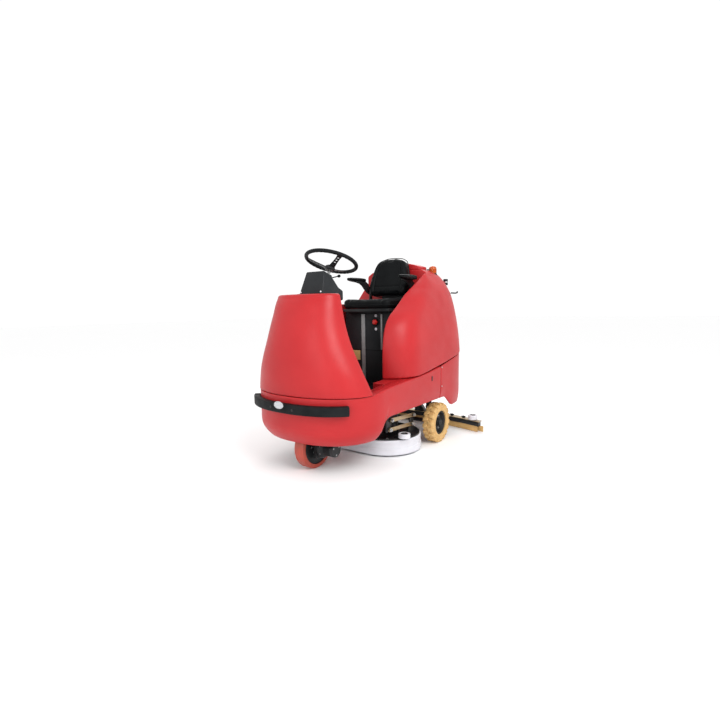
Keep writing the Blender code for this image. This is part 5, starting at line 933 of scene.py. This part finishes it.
def makeBackrest():
    side = []
    for step in range(25):
        z = 0.006 + 0.320 * step / 24
        half = backHalf(z)
        if z > 0.29:
            half *= math.sqrt(max(0.05, 1 - ((z - 0.29) / 0.043) ** 2))
        if z < 0.04:
            half *= 1 - 0.10 * (1 - z / 0.04) ** 2
        side.append((half, z))
    outline = side + [(-x, z) for x, z in reversed(side)]
    piece = outlinePiece("backrest", outline, "y", 0.004, 0.004 + backrest["thick"])
    softEdges(piece, 0.020, 5, 50)
    plump(piece, 0.006, backrest["cap"])
    for vertex in piece.data.vertices:
        co = vertex.co
        seam = 0.66 * backHalf(co.z)
        if co.y < 0.030:
            near = math.exp(-((abs(co.x) - seam) / 0.008) ** 2)
            bolster = ease(abs(co.x), seam, seam + 0.03) * ease(0.30 - co.z, 0.0, 0.06)
            hollow = math.exp(-(co.x / 0.09) ** 2) * math.exp(-((co.z - 0.15) / 0.10) ** 2)
            across = math.exp(-((co.z - 0.075) / 0.007) ** 2) * (1 - ease(abs(co.x), seam - 0.01, seam))
            co.y += 0.006 * near + 0.004 * across - 0.008 * bolster + 0.007 * hollow
    piece.data.transform(backPlace)
    finished(piece, "black_vinyl", "seat", "backrest_cushion")
    ring = [backPlace @ Vector((x * 1.035, 0.036, z)) for x, z in outline[::2]]
    piping = tubePiece("backPiping", ring, 0.003, closed=True, resolution=3)
    finished(piping, "black_vinyl", "seat")
    shell = outlinePiece("backShell", [(x * 0.93, 0.008 + z * 0.95) for x, z in outline], "y", 0.058, 0.0745)
    softEdges(shell, 0.005, 3, 40)
    shell.data.transform(backPlace)
    finished(shell, "charcoal_plastic", "seat")


arm = dict(pivotY=0.378, pivotZ=1.203, low=1.286, high=1.318, edge=0.010, voxel=0.004, cap=0.004, fill=0.9,
           padSides=((0.106, 0.240, 0.250), (0.112, 0.232, 0.262), (0.130, 0.226, 0.271),
                     (0.170, 0.222, 0.277),
                     (0.250, 0.221, 0.277), (0.320, 0.222, 0.275), (0.336, 0.226, 0.270),
                     (0.340, 0.233, 0.262)),
           strutX=(0.2180, 0.2260), holeX=(0.20, 0.24), hole=0.0085,
           strut=((0.362, 1.187), (0.330, 1.200), (0.295, 1.228), (0.265, 1.255), (0.230, 1.272),
                  (0.180, 1.281),
                  (0.180, 1.290), (0.330, 1.290), (0.362, 1.270), (0.386, 1.235), (0.394, 1.210),
                  (0.394, 1.190),
                  (0.385, 1.186)),
           endCap=((0.0, 0.0), (0.014, 0.0), (0.014, 0.004), (0.011, 0.007), (0.0, 0.008)),
           endPlace=(0.248, 0.339, 1.302), boltX=0.2265)


def makeArmrest(side, node, bodyName):
    ring = [(side * outer, y) for y, inner, outer in arm["padSides"]]
    ring += [(side * inner, y) for y, inner, outer in reversed(arm["padSides"])]
    if side < 0:
        ring.reverse()
    pad = outlinePiece("armPad", ring, "z", arm["low"], arm["high"])
    for vertex in pad.data.vertices:
        share = 1 - ease(vertex.co.y, 0.10, 0.20)
        if vertex.co.z < 1.30:
            vertex.co.z += 0.012 * share
    softEdges(pad, arm["edge"], 4, 40)
    plump(pad, arm["voxel"], arm["cap"])
    pad.name = "armPad" + ("Left" if side > 0 else "Right")
    finished(pad, "black_vinyl", bodyName, node)
    low, high = sorted((side * arm["strutX"][0], side * arm["strutX"][1]))
    strut = outlinePiece("armStrut", arm["strut"], "x", low, high)
    start, end = ((side * x, arm["pivotY"], arm["pivotZ"]) for x in arm["holeX"])
    hole = rodPiece("hole", start, end, arm["hole"])
    cutOut(strut, hole)
    softEdges(strut, 0.002, 3, 35)
    strut.name = "armStrut" + ("Left" if side > 0 else "Right")
    finished(strut, "black_paint", bodyName)
    x, y, z = arm["endPlace"]
    cap = spunPiece("armEndCap", arm["endCap"], (side * x, y, z), (0, 1, 0), steps=32)
    finished(shadeRound(cap, 30), "white_plastic", bodyName)
    boltAt("seat", (side * arm["boltX"], arm["pivotY"], arm["pivotZ"]), (side, 0, 0), 0.009, 0.007)


makeCushion()
makeBackrest()
makeArmrest(1, "armrest_left", "armrest_left")
makeArmrest(-1, "armrest_right", "armrest_right")
print("seat ready")


# Rear wheels: solid tyres with two rows of lugs that wrap the shoulders

rearWheel = dict(x=0.43325, y=0.346, radius=0.157, half=0.04675, rim=0.0942, lugs=18, depth=0.010,
                 lugHalf=0.0155)


def makeRearTyre(side, tag):
    radius, half, depth = rearWheel["radius"], rearWheel["half"], rearWheel["depth"]
    base = radius - depth
    profile = [(rearWheel["rim"], -half * 0.86), (rearWheel["rim"] + 0.004, -half + 0.002),
               (0.112, -half + 0.0005),
               (0.114, -half + 0.003), (0.118, -half + 0.003), (0.120, -half + 0.0005),
               (0.134, -half + 0.002),
               (base - 0.006, -half + 0.006), (base, -half + 0.013)]
    profile += [(r, -h) for r, h in reversed(profile)]
    parts = [spunPiece("carcass", profile, (0, 0, 0), steps=96, ring=True)]
    lug = ((base - 0.016, half - 0.0005), (base - 0.003, half), (radius - 0.005, half - 0.0045),
           (radius - 0.0008, half - 0.011), (radius, half * 0.42), (radius, 0.0035), (base - 0.003, 0.0015),
           (base - 0.005, half * 0.7))
    block = outlinePiece("lug", [(r, h) for r, h in lug], "y", -rearWheel["lugHalf"], rearWheel["lugHalf"])
    for vertex in block.data.vertices:
        vertex.co.y *= 1.0 - 0.22 * ease(vertex.co.x, base, radius)
        vertex.co.y += 0.007 * (vertex.co.z / half)
    softEdges(block, 0.0018, 2, 30)
    for row in (1, -1):
        for step in range(rearWheel["lugs"]):
            angle = 2 * math.pi * (step + (0.5 if row < 0 else 0)) / rearWheel["lugs"]
            matrix = Matrix.Rotation(angle, 4, "Z") @ Matrix.Diagonal((1, 1, row, 1))
            parts.append(copied(block, "lugCopy", matrix))
    bpy.data.objects.remove(block)
    tyre = joined("rearTyre" + tag, *parts)
    tyre.data.transform(alongAxis((side * rearWheel["x"], rearWheel["y"], radius), (side, 0, 0)))
    shadeRound(tyre, 35)
    bodyName = "rear_wheel_" + tag.lower()
    finished(tyre, "tan_rubber", bodyName, "rear_tyre_" + tag.lower())
    face = side * (rearWheel["x"] + half * 0.12)
    for step in range(5):
        angle = 2 * math.pi * step / 5
        boltAt(bodyName, (face, rearWheel["y"] + 0.052 * math.cos(angle), radius + 0.052 * math.sin(angle)),
               (side, 0, 0), 0.0075, 0.009)
    cap = spunPiece("hubCap" + tag, ((0.0, 0.0), (0.026, 0.0), (0.026, 0.006), (0.022, 0.012), (0.010, 0.014),
                                     (0.0, 0.0145)),
                    (side * (rearWheel["x"] + half * 0.6), rearWheel["y"], radius), (side, 0, 0), steps=40)
    finished(shadeRound(cap, 30), "charcoal_plastic", bodyName)


makeRearTyre(1, "Left")
makeRearTyre(-1, "Right")


# Drive unit: smooth tyre, gear cover, ribbed motor and its bolts

drive = dict(x=0.010, y=-0.642, radius=0.150, half=0.040, rim=0.1202, motorX=0.0823,
             motor=((0.0, 0.0), (0.068, 0.0), (0.068, 0.009), (0.064, 0.010), (0.064, 0.015), (0.068, 0.016),
                    (0.068, 0.030), (0.062, 0.038), (0.050, 0.044)),
             motorEnd=((0.047, 0.112), (0.049, 0.114), (0.049, 0.124), (0.044, 0.1295), (0.0, 0.130)),
             fins=8, finStart=0.050, finPitch=0.0075, finRoot=0.0445, finTip=0.049,
             boxX=(0.135, 0.185), boxHalf=0.024, boxRise=(0.047, 0.068), terminals=(-0.018, 0.0, 0.018),
             sectorOuter=0.116, sectorInner=0.080, sectorFrom=200, sectorTurn=70, sectorZ=(0.3335, 0.3378))


def makeDriveUnit():
    radius, half, rim = drive["radius"], drive["half"], drive["rim"]
    profile = [(rim, -half), (radius - 0.014, -half), (radius - 0.006, -half + 0.002),
               (radius - 0.0015, -half + 0.008),
               (radius, -half + 0.018)]
    profile += [(r, -h) for r, h in reversed(profile)]
    tyre = spunPiece("driveTyre", profile, (drive["x"], drive["y"], radius), (1, 0, 0), steps=128, ring=True)
    finished(shadeRound(tyre, 30), "red_polyurethane", "drive_wheel", "drive_tyre")
    for step in range(6):
        angle = 2 * math.pi * step / 6
        boltAt("drive_wheel", (drive["x"] + half * 0.6, drive["y"] + 0.045 * math.cos(angle),
                               radius + 0.045 * math.sin(angle)), (1, 0, 0), 0.006, 0.006)
        boltAt("drive_wheel", (drive["x"] - half + 0.004, drive["y"] + 0.060 * math.cos(angle),
                               radius + 0.060 * math.sin(angle)), (-1, 0, 0), 0.007, 0.007)
    motorProfile = list(drive["motor"])
    low, high = drive["finRoot"], drive["finTip"]
    for step in range(drive["fins"]):
        start = drive["finStart"] + step * drive["finPitch"]
        motorProfile += [(low, start), (low, start + 0.003), (high, start + 0.0035), (high, start + 0.0065)]
    motorProfile += drive["motorEnd"]
    motor = spunPiece("driveMotor", motorProfile, (drive["motorX"], drive["y"], radius), (1, 0, 0), steps=64)
    finished(shadeRound(motor, 30), "black_paint", "drive_swivel", "drive_motor")
    for step in range(8):
        angle = 2 * math.pi * (step + 0.5) / 8
        boltAt("drive_swivel", (drive["motorX"] + 0.031, drive["y"] + 0.059 * math.cos(angle),
                                radius + 0.059 * math.sin(angle)), (1, 0, 0), 0.0055, 0.006)
    for step in range(3):
        angle = 2 * math.pi * (step + 0.25) / 3
        boltAt("drive_swivel", (drive["motorX"] + 0.1285, drive["y"] + 0.033 * math.cos(angle),
                                radius + 0.033 * math.sin(angle)), (1, 0, 0), 0.004, 0.004)
    (boxNear, boxFar), (boxLow, boxHigh) = drive["boxX"], drive["boxRise"]
    box = boxPiece("motorTerminals", (boxNear, drive["y"] - drive["boxHalf"], radius + boxLow),
                   (boxFar, drive["y"] + drive["boxHalf"], radius + boxHigh))
    finished(softEdges(box, 0.004, 3), "charcoal_plastic", "drive_swivel")
    for y in drive["terminals"]:
        boltAt("drive_swivel", (0.160, drive["y"] + y, radius + 0.0682), (0, 0, 1), 0.004, 0.005)
    sector = []
    first, turn = drive["sectorFrom"], drive["sectorTurn"]
    for start, end, reach in ((first, first + turn, drive["sectorOuter"]),
                              (first + turn, first, drive["sectorInner"])):
        for step in range(13):
            angle = math.radians(start + (end - start) * step / 12)
            sector.append((drive["x"] + reach * math.cos(angle), drive["y"] + reach * math.sin(angle)))
    plate = outlinePiece("steerSector", sector, "z", *drive["sectorZ"])
    finished(softEdges(plate, 0.001, 2), "steel", "drive_swivel")
    for step in range(6):
        angle = math.radians(30 + 60 * step)
        boltAt("drive_swivel", (drive["x"] + 0.102 * math.cos(angle), drive["y"] + 0.102 * math.sin(angle),
                                0.338),
               (0, 0, -1), 0.006, 0.006)
    for z in (0.215, 0.285):
        for y in (-0.032, 0.032):
            boltAt("drive_swivel", (0.0822, drive["y"] + y, z + 0.02), (1, 0, 0), 0.006, 0.006)


makeDriveUnit()
print("wheels ready")


# Brush deck: two-tier skirt, rollers, latch, bolts

deck = dict(y=0.007, arcX=0.186, radius=0.260,
            skirt=((0.0035, 0.0125), (0.0008, 0.0140), (0.0, 0.0175), (0.0, 0.056), (0.0012, 0.0590),
                   (0.0042, 0.0605), (0.0046, 0.0640), (0.0046, 0.106), (0.0028, 0.1085), (0.0028, 0.1165),
                   (0.0050, 0.1200), (0.0075, 0.1215), (0.0118, 0.1215), (0.0118, 0.0125)),
            trim=((0.2476, 0.1252), (0.2476, 0.1305), (0.2462, 0.1318), (0.2440, 0.1318), (0.2425, 0.1305),
                  (0.2425, 0.1252), (0.2476, 0.1252)))


def stadium(radius, points=40):
    outline = []
    for side, start in ((1, -90), (-1, 90)):
        for step in range(points + 1):
            angle = math.radians(start + 180 * step / points)
            outline.append((side * deck["arcX"] + radius * math.cos(angle),
                            deck["y"] + radius * math.sin(angle)))
    return outline


def makeSkirt():
    rings = []
    for drop, z in deck["skirt"]:
        rings.append([(x, y, z) for x, y in stadium(deck["radius"] - drop)])
    rings.append(rings[0])
    skirt = loftPiece("deckSkirt", rings)
    finished(shadeRound(skirt, 40), "white_plastic", "deck", "deck_skirt")
    trim = loftPiece("deckTrim", [[(x, y, z) for x, y in stadium(radius)] for radius, z in deck["trim"]])
    finished(shadeRound(trim, 40), "black_paint", "deck")


def makeRoller(name, bodyName, node, foot, radius, height):
    lip = height * 0.16
    profile = ((0.0075, 0.0), (radius - lip, 0.0), (radius - lip * 0.3, lip * 0.3), (radius, lip),
               (radius, height * 0.34), (radius - 0.002, height * 0.40), (radius - 0.002, height * 0.60),
               (radius, height * 0.66), (radius, height - lip), (radius - lip * 0.3, height - lip * 0.3),
               (radius - lip, height), (radius * 0.66, height), (radius * 0.60, height * 0.86),
               (0.0075, height * 0.86))
    roller = spunPiece(name, profile, foot, steps=64, ring=True)
    finished(shadeRound(roller, 30), "white_plastic", bodyName, node)
    cap = spunPiece(name + "Cap", ((0.0082, height * 0.865), (radius * 0.57, height * 0.865),
                                   (radius * 0.57, height * 0.98), (radius * 0.50, height * 1.03),
                                   (radius * 0.28, height * 1.05), (0.0082, height * 1.05)),
                    foot, steps=48, ring=True)
    finished(shadeRound(cap, 30), "charcoal_plastic", bodyName)


brush = dict(x=0.213, wave=0.0012, tufts=80, waveFrom=0.19, waveTop=0.05,
             bristles=((0.060, 0.0035), (0.205, 0.0035), (0.2045, 0.010), (0.198, 0.030), (0.1965, 0.0528),
                       (0.060, 0.0528)),
             block=((0.0, 0.0535), (0.195, 0.0535), (0.198, 0.056), (0.198, 0.070), (0.188, 0.0795),
                    (0.050, 0.081), (0.020, 0.082), (0.020, 0.122), (0.0, 0.122)))


def makeBrush(side, tag):
    x, y = side * brush["x"], deck["y"]
    bristles = spunPiece("bristles" + tag, brush["bristles"], (x, y, 0), steps=160, ring=True)
    for vertex in bristles.data.vertices:
        flat = Vector((vertex.co.x - x, vertex.co.y - y))
        if flat.length > brush["waveFrom"] and vertex.co.z < brush["waveTop"]:
            swing = brush["wave"] * math.sin(brush["tufts"] * math.atan2(flat.y, flat.x))
            vertex.co.x += swing * flat.x / flat.length
            vertex.co.y += swing * flat.y / flat.length
    finished(shadeRound(bristles, 50), "blue_bristle", "brush_" + tag.lower(), "brush_" + tag.lower())
    block = spunPiece("brushBlock" + tag, brush["block"], (x, y, 0), steps=96)
    finished(shadeRound(block, 30), "charcoal_plastic", "brush_" + tag.lower(), slot="charcoal_plastic")


def makeLatch():
    y = deck["y"] - deck["radius"]
    parts = [boxPiece("latchPlate", (0.050, y - 0.0035, 0.070), (0.080, y + 0.004, 0.150)),
             boxPiece("latchHook", (0.054, y - 0.010, 0.132), (0.076, y + 0.016, 0.143)),
             boxPiece("latchStrap", (0.057, y - 0.0085, 0.088), (0.073, y - 0.0035, 0.134))]
    for part in parts:
        softEdges(part, 0.0015, 2)
    handle = tubePiece("latchHandle", [(0.054, y - 0.006, 0.096), (0.054, y - 0.013, 0.084),
                                       (0.065, y - 0.016, 0.078),
                                       (0.076, y - 0.013, 0.084), (0.076, y - 0.006, 0.096)], 0.0025,
                                       resolution=4)
    finished(joined("skirtLatch", *parts, handle), "black_rubber", "deck")


makeSkirt()
for rollerSide, rollerTag in ((1, "left"), (-1, "right")):
    makeRoller("deckRoller_" + rollerTag, "deck_roller_" + rollerTag, "deck_roller_" + rollerTag,
               (rollerSide * 0.412, -0.115, 0.136), 0.044, 0.034)
    wallY = 0.872 - 0.105 * (0.555 / 0.655) ** 2
    makeRoller("squeegeeRoller_" + rollerTag, "squeegee_roller_" + rollerTag, "squeegee_roller_" + rollerTag,
               (rollerSide * 0.555, wallY, 0.0973), 0.040, 0.040)
    boltAt("deck", (rollerSide * 0.412, -0.115, 0.166), (0, 0, 1), 0.008, 0.006)
    boltAt("squeegee_lift", (rollerSide * 0.555, wallY, 0.1335), (0, 0, 1), 0.008, 0.006)
makeBrush(1, "Left")
makeBrush(-1, "Right")
makeLatch()
for side in (-1, 1):
    lowerFront, upperFront = Vector((0, -0.225, 0.212)), Vector((0, -0.205, 0.278))
    run = Vector((0, 0.310, -0.022))
    for front in (lowerFront, upperFront):
        for point, bodyName in ((front, "root"), (front + run, "deck")):
            boltAt(bodyName, (side * 0.3700, point.y, point.z), (side, 0, 0), 0.0105, 0.010)
    for x, y in ((0.10, 0.16), (0.30, 0.17), (0.10, -0.15), (0.30, -0.17), (0.34, 0.08)):
        boltAt("deck", (side * x, y, 0.1253), (0, 0, 1), 0.007, 0.005)
    for step in range(4):
        angle = math.radians(45 + 90 * step)
        boltAt("deck", (side * 0.213 + 0.050 * math.cos(angle), 0.007 + 0.050 * math.sin(angle),
                        0.2905 - 0.0055),
               (0, 0, 1), 0.004, 0.004)
print("deck ready")


# Bumper, its bolts and the plain oval reflector

bumper = dict(low=0.427, high=0.487, thick=0.046, start=38.0, end=142.0, taper=0.6, gap=0.0012, edge=0.012,
              boltZ=0.457, boltSteps=(22, 30), boltRadius=0.0065, boltHeight=0.004)


def noseArc(gap, start, end, points):
    path = []
    for step in range(points):
        angle = math.radians(start + (end - start) * step / (points - 1))
        x, y = ovalPoint(angle, body["halfWidth"], body["noseDepth"], body["nosePower"])
        path.append((-x, body["noseY"] - y))
    return insetPath(path, [-gap] * points)


def makeBumper():
    inner = noseArc(bumper["gap"], bumper["start"], bumper["end"], 90)
    outer = noseArc(bumper["thick"], bumper["start"] + bumper["taper"], bumper["end"] - bumper["taper"], 90)
    strip = outlinePiece("bumper", inner + outer[::-1], "z", bumper["low"], bumper["high"])
    softEdges(strip, bumper["edge"], 5, 50)
    finished(shadeRound(strip, 40), "black_rubber", "root", "bumper_strip")
    path = noseArc(bumper["thick"] - 0.001, bumper["start"], bumper["end"], 53)
    for index in bumper["boltSteps"]:
        before, point, after = path[index - 1], path[index], path[index + 1]
        run = Vector((after[0] - before[0], after[1] - before[1])).normalized()
        out = Vector((run.y, -run.x, 0))
        boltAt("root", (point[0] + out.x * 0.0008, point[1] + out.y * 0.0008, bumper["boltZ"]), out,
               bumper["boltRadius"], bumper["boltHeight"],
               finish="black_paint")


reflector = dict(profile=((0.0, 0.0), (1.0, 0.0), (1.0, 0.45), (0.96, 0.62), (0.90, 0.66), (0.88, 0.50),
                          (0.82, 0.50), (0.80, 0.74), (0.40, 0.92), (0.0, 1.0)),
                 size=(0.040, 0.024, 0.0075, 1), place=(-0.015, -0.9225, 0.478))


def makeReflector():
    disc = spunPiece("reflector", reflector["profile"], (0, 0, 0), steps=72)
    disc.data.transform(Matrix.Diagonal(reflector["size"]))
    disc.data.transform(Matrix.Translation(reflector["place"]) @ Matrix.Rotation(math.radians(90), 4, "X"))
    finished(shadeRound(cleaned(disc), 30), "white_reflector", "root", "bumper_reflector")


makeBumper()
makeReflector()


# Squeegee fittings

def squeegeeY(x):
    return 0.872 - 0.105 * (x / 0.655) ** 2


squeegee = dict(knobs=(-0.46, -0.30, -0.15, 0.22, 0.34, 0.46), topZ=0.0955, spigotX=0.09, clipZ=0.138,
                knob=((0.0, 0.0), (0.011, 0.0), (0.013, 0.004), (0.012, 0.012), (0.007, 0.017), (0.0, 0.018)),
                wingHalf=(0.020, 0.0028), wingZ=(0.0995, 0.1105), endBolts=(0.60, 0.63),
                clip=((0.0265, 0.0), (0.0285, 0.0), (0.0285, 0.010), (0.0265, 0.010)))


def makeSqueegeeFittings():
    long, thin = squeegee["wingHalf"]
    low, high = squeegee["wingZ"]
    for x in squeegee["knobs"]:
        y = squeegeeY(x)
        knob = spunPiece("wingNut", squeegee["knob"], (x, y, squeegee["topZ"]), steps=24)
        ears = boxPiece("wing", (x - long, y - thin, low), (x + long, y + thin, high))
        softEdges(ears, 0.0022, 2)
        finished(joined("squeegeeKnob_%d" % round(x * 100), shadeRound(knob, 40), ears), "charcoal_plastic",
                 "squeegee_lift")
    spigotX = squeegee["spigotX"]
    clip = spunPiece("hoseClip", squeegee["clip"], (spigotX, squeegeeY(spigotX), squeegee["clipZ"]), steps=48,
                     ring=True)
    finished(shadeRound(clip, 30), "steel", "squeegee_lift")
    for side in (-1, 1):
        for x in squeegee["endBolts"]:
            boltAt("squeegee_lift", (side * x, squeegeeY(x), squeegee["topZ"]), (0, 0, 1), 0.005, 0.004)


makeSqueegeeFittings()


# Battery box front, tank fittings, mats and small parts

boxFront = dict(y=0.0698, stripY=0.0696, hingeX=0.165, hingeHalf=0.016, leafHalf=0.014,
                strips=(("trimWide", -0.070, 0.017, 0.484, 1.022),
                        ("trimNarrow", 0.104, 0.007, 0.745, 1.022)),
                seam=((-0.249, 0.0688, 0.736), (0.249, 0.0699, 0.742)), stopPlace=(0.05, 0.0698, 0.960),
                stopRing=((0.0245, 0.0), (0.030, 0.0), (0.030, 0.003), (0.027, 0.005), (0.0245, 0.005)),
                studX=0.050, studs=(0.905, 1.010), hinges=(0.700, 0.760),
                stud=((0.0, 0.0), (0.011, 0.0), (0.011, 0.0015), (0.009, 0.0032), (0.0, 0.0038)),
                pocket=((-0.215, 0.0640, 0.655), (-0.105, 0.0698, 0.732)))


def makeTrims():
    for name, middle, half, low, high in boxFront["strips"]:
        y = boxFront["stripY"]
        outline = [(middle - half, y), (middle + half, y), (middle + half, y - 0.004)]
        ribs = 5 if half > 0.01 else 2
        for step in range(ribs):
            left = middle + half - (2 * half) * (step + 0.3) / ribs
            outline += [(left, y - 0.004), (left, y - 0.0028), (left - half / ribs * 0.6, y - 0.0028),
                        (left - half / ribs * 0.6, y - 0.004)]
        outline.append((middle - half, y - 0.004))
        strip = outlinePiece(name, outline, "z", low, high)
        finished(softEdges(strip, 0.0005, 2), "aluminium", "root", slot="steel")
    seam = boxPiece("boxSeam", *boxFront["seam"])
    finished(softEdges(seam, 0.0004, 1), "black_rubber", "root")
    ring = spunPiece("stopRing", boxFront["stopRing"], boxFront["stopPlace"], (0, -1, 0), steps=48, ring=True)
    finished(shadeRound(ring, 30), "black_rubber", "root")
    for z in boxFront["studs"]:
        stud = spunPiece("panelStud", boxFront["stud"], (boxFront["studX"], boxFront["y"], z), (0, -1, 0),
                         steps=32)
        finished(shadeRound(stud, 30), "white_plastic", "root")
    x, half, leafHalf = boxFront["hingeX"], boxFront["hingeHalf"], boxFront["leafHalf"]
    for z in boxFront["hinges"]:
        hinge = rodPiece("boxHinge", (x - half, 0.066, z), (x + half, 0.066, z), 0.0035, 20)
        leaf = boxPiece("hingeLeaf", (x - leafHalf, 0.0672, z - 0.012),
                        (x + leafHalf, boxFront["y"], z + 0.012))
        softEdges(leaf, 0.0006, 2)
        finished(joined("boxHinge_%d" % round(z * 100), hinge, leaf), "steel", "root")
    pouch = boxPiece("cardPocket", *boxFront["pocket"])
    finished(softEdges(pouch, 0.0015, 2), "tan_rubber", "root")


beacon = dict(place=(0.247, 0.642, 1.335), radius=0.0325, ribs=9, ribStart=0.0165, ribPitch=0.0042,
              ribRadius=0.0338, domeZ=0.0550, domeRise=0.0235,
              base=((0.0, 0.0), (0.0358, 0.0), (0.0358, 0.011), (0.0340, 0.014), (0.0300, 0.0145),
                    (0.0, 0.0145)))
drain = dict(place=(0.281, 0.820, 1.257), bandPlace=(0.281, 0.820, 1.2767),
             cap=((0.0, 0.0), (0.019, 0.0), (0.020, 0.002), (0.020, 0.018), (0.0185, 0.0195), (0.0185, 0.032),
                  (0.020, 0.0335), (0.020, 0.049), (0.018, 0.052), (0.0, 0.052)),
             band=((0.0186, 0.0), (0.0203, 0.0005), (0.0203, 0.0115), (0.0186, 0.012)))
hook = dict(path=((0.318, 0.780, 1.187), (0.350, 0.806, 1.187), (0.376, 0.827, 1.186), (0.384, 0.833, 1.190),
                  (0.386, 0.835, 1.200)), radius=0.0062, platePlace=(0.335, 0.795, 1.187),
                  away=(0.75, 0.62, 0.0),
            plate=((0.0, 0.0), (0.013, 0.0), (0.013, 0.003), (0.008, 0.005), (0.0, 0.005)))
lidHinge = dict(inner=0.2135, outer=0.2345, y=0.600, z=1.381, radius=0.0045, leafInner=0.2145,
                leafOuter=0.2335,
                leafFront=0.578, leafLow=1.3762, leafHigh=1.3788)


def makeFittings():
    place = beacon["place"]
    base = spunPiece("beaconBase", beacon["base"], place, steps=64)
    finished(shadeRound(base, 30), "charcoal_plastic", "root")
    radius, ridge = beacon["radius"], beacon["ribRadius"]
    profile = [(0.0, 0.0150), (radius, 0.0150)]
    for step in range(beacon["ribs"]):
        z = beacon["ribStart"] + step * beacon["ribPitch"]
        profile += [(radius, z), (ridge, z + 0.0010), (ridge, z + 0.0026), (radius, z + 0.0036)]
    for step in range(1, 8):
        angle = math.radians(90 * step / 8)
        profile.append((radius * math.cos(angle), beacon["domeZ"] + beacon["domeRise"] * math.sin(angle)))
    profile.append((0.0, beacon["domeZ"] + beacon["domeRise"]))
    dome = spunPiece("beaconLens", profile, place, steps=72)
    finished(shadeRound(dome, 35), "orange_lens", "root", "beacon")
    cap = spunPiece("drainCap", drain["cap"], drain["place"], steps=48)
    finished(shadeRound(cap, 30), "charcoal_plastic", "root", "drain_hose_cap")
    band = spunPiece("drainBand", drain["band"], drain["bandPlace"], steps=48, ring=True)
    finished(shadeRound(band, 30), "steel", "root")
    rod = tubePiece("hoseHook", list(hook["path"]), hook["radius"], resolution=8)
    finished(rod, "black_paint", "root")
    plate = spunPiece("hookPlate", hook["plate"], hook["platePlace"], hook["away"], steps=32)
    finished(shadeRound(plate, 30), "steel", "root")
    for side, tag in ((-1, "Right"), (1, "Left")):  # beside the lid, so it swings clear
        knuckle = rodPiece("lidHinge", (side * lidHinge["inner"], lidHinge["y"], lidHinge["z"]),
                           (side * lidHinge["outer"], lidHinge["y"], lidHinge["z"]), lidHinge["radius"], 20)
        low, high = sorted((side * lidHinge["leafInner"], side * lidHinge["leafOuter"]))
        leaf = boxPiece("lidLeaf", (low, lidHinge["leafFront"], lidHinge["leafLow"]),
                        (high, lidHinge["y"], lidHinge["leafHigh"]))
        softEdges(leaf, 0.0008, 2)
        finished(joined("lidHinge" + tag, knuckle, leaf), "black_paint", "root")


mat = dict(sheet=((-0.375, -0.585, 0.4803), (0.375, 0.062, 0.4845)), ribs=34, pitch=0.0188,
           rib=((-0.370, -0.575, 0.4838), (0.370, -0.569, 0.4868)),
           cuts=(((-0.24, -0.405, 0.47), (-0.085, -0.335, 0.50)),
                 ((-0.40, -0.328, 0.47), (-0.289, 0.20, 0.50)),
                 ((0.289, -0.328, 0.47), (0.40, 0.20, 0.50))))
tread = dict(x=0.420, half=0.021, ribs=15, first=-0.515, pitch=0.026, ribHalf=0.005, sink=0.002, rise=0.006)
sideFittings = dict(latchX=0.4795, latchHalf=0.0035, latchY=(0.176, 0.190), latchZ=(0.515, 0.552),
                    boltX=0.4803,
                    boltY=0.350, boltZ=(0.45, 0.60))


def makeMats():
    sheet = boxPiece("mat", *mat["sheet"])
    parts = [softEdges(sheet, 0.0012, 2)]
    rib = boxPiece("rib", *mat["rib"])
    softEdges(rib, 0.001, 2)
    for step in range(1, mat["ribs"]):
        parts.append(copied(rib, "rib", Matrix.Translation((0, step * mat["pitch"], 0))))
    parts.append(rib)
    floorMat = joined("floorMat", *parts)
    for low, high in mat["cuts"]:
        cutOut(floorMat, boxPiece("cut", low, high))
    finished(shadeRound(floorMat, 30), "black_rubber", "root")
    for side in (-1, 1):
        pad = []
        middle, half, ribHalf = side * tread["x"], tread["half"], tread["ribHalf"]
        for step in range(tread["ribs"]):
            y = tread["first"] + step * tread["pitch"]
            low = seamZ(y) - tread["sink"]
            rib = boxPiece("treadRib", (middle - half, y - ribHalf, low),
                           (middle + half, y + ribHalf, low + tread["rise"]))
            pad.append(softEdges(rib, 0.0015, 2))
        finished(joined("sillTread" + ("Left" if side > 0 else "Right"), *pad), "red_moulding", "root")
    for side in (-1, 1):
        middle, half = side * sideFittings["latchX"], sideFittings["latchHalf"]
        (front, rear), (low, high) = sideFittings["latchY"], sideFittings["latchZ"]
        slot = boxPiece("coverLatch", (middle - half, front, low), (middle + half, rear, high))
        finished(softEdges(slot, 0.002, 2), "charcoal_plastic", "root")
        for z in sideFittings["boltZ"]:
            boltAt("root", (side * sideFittings["boltX"], sideFittings["boltY"], z), (side, 0, 0), 0.005,
                   0.003)


makeTrims()
makeFittings()
makeMats()
gatherBolts()
print("small parts ready")

leftPlain = [name for name, piece in nodes.items() if not piece.hide_render]
for name in leftPlain:
    nodes[name].data.materials.clear()
    nodes[name].data.materials.append(materials["black_paint"])
print("CAD nodes still shown:", leftPlain)
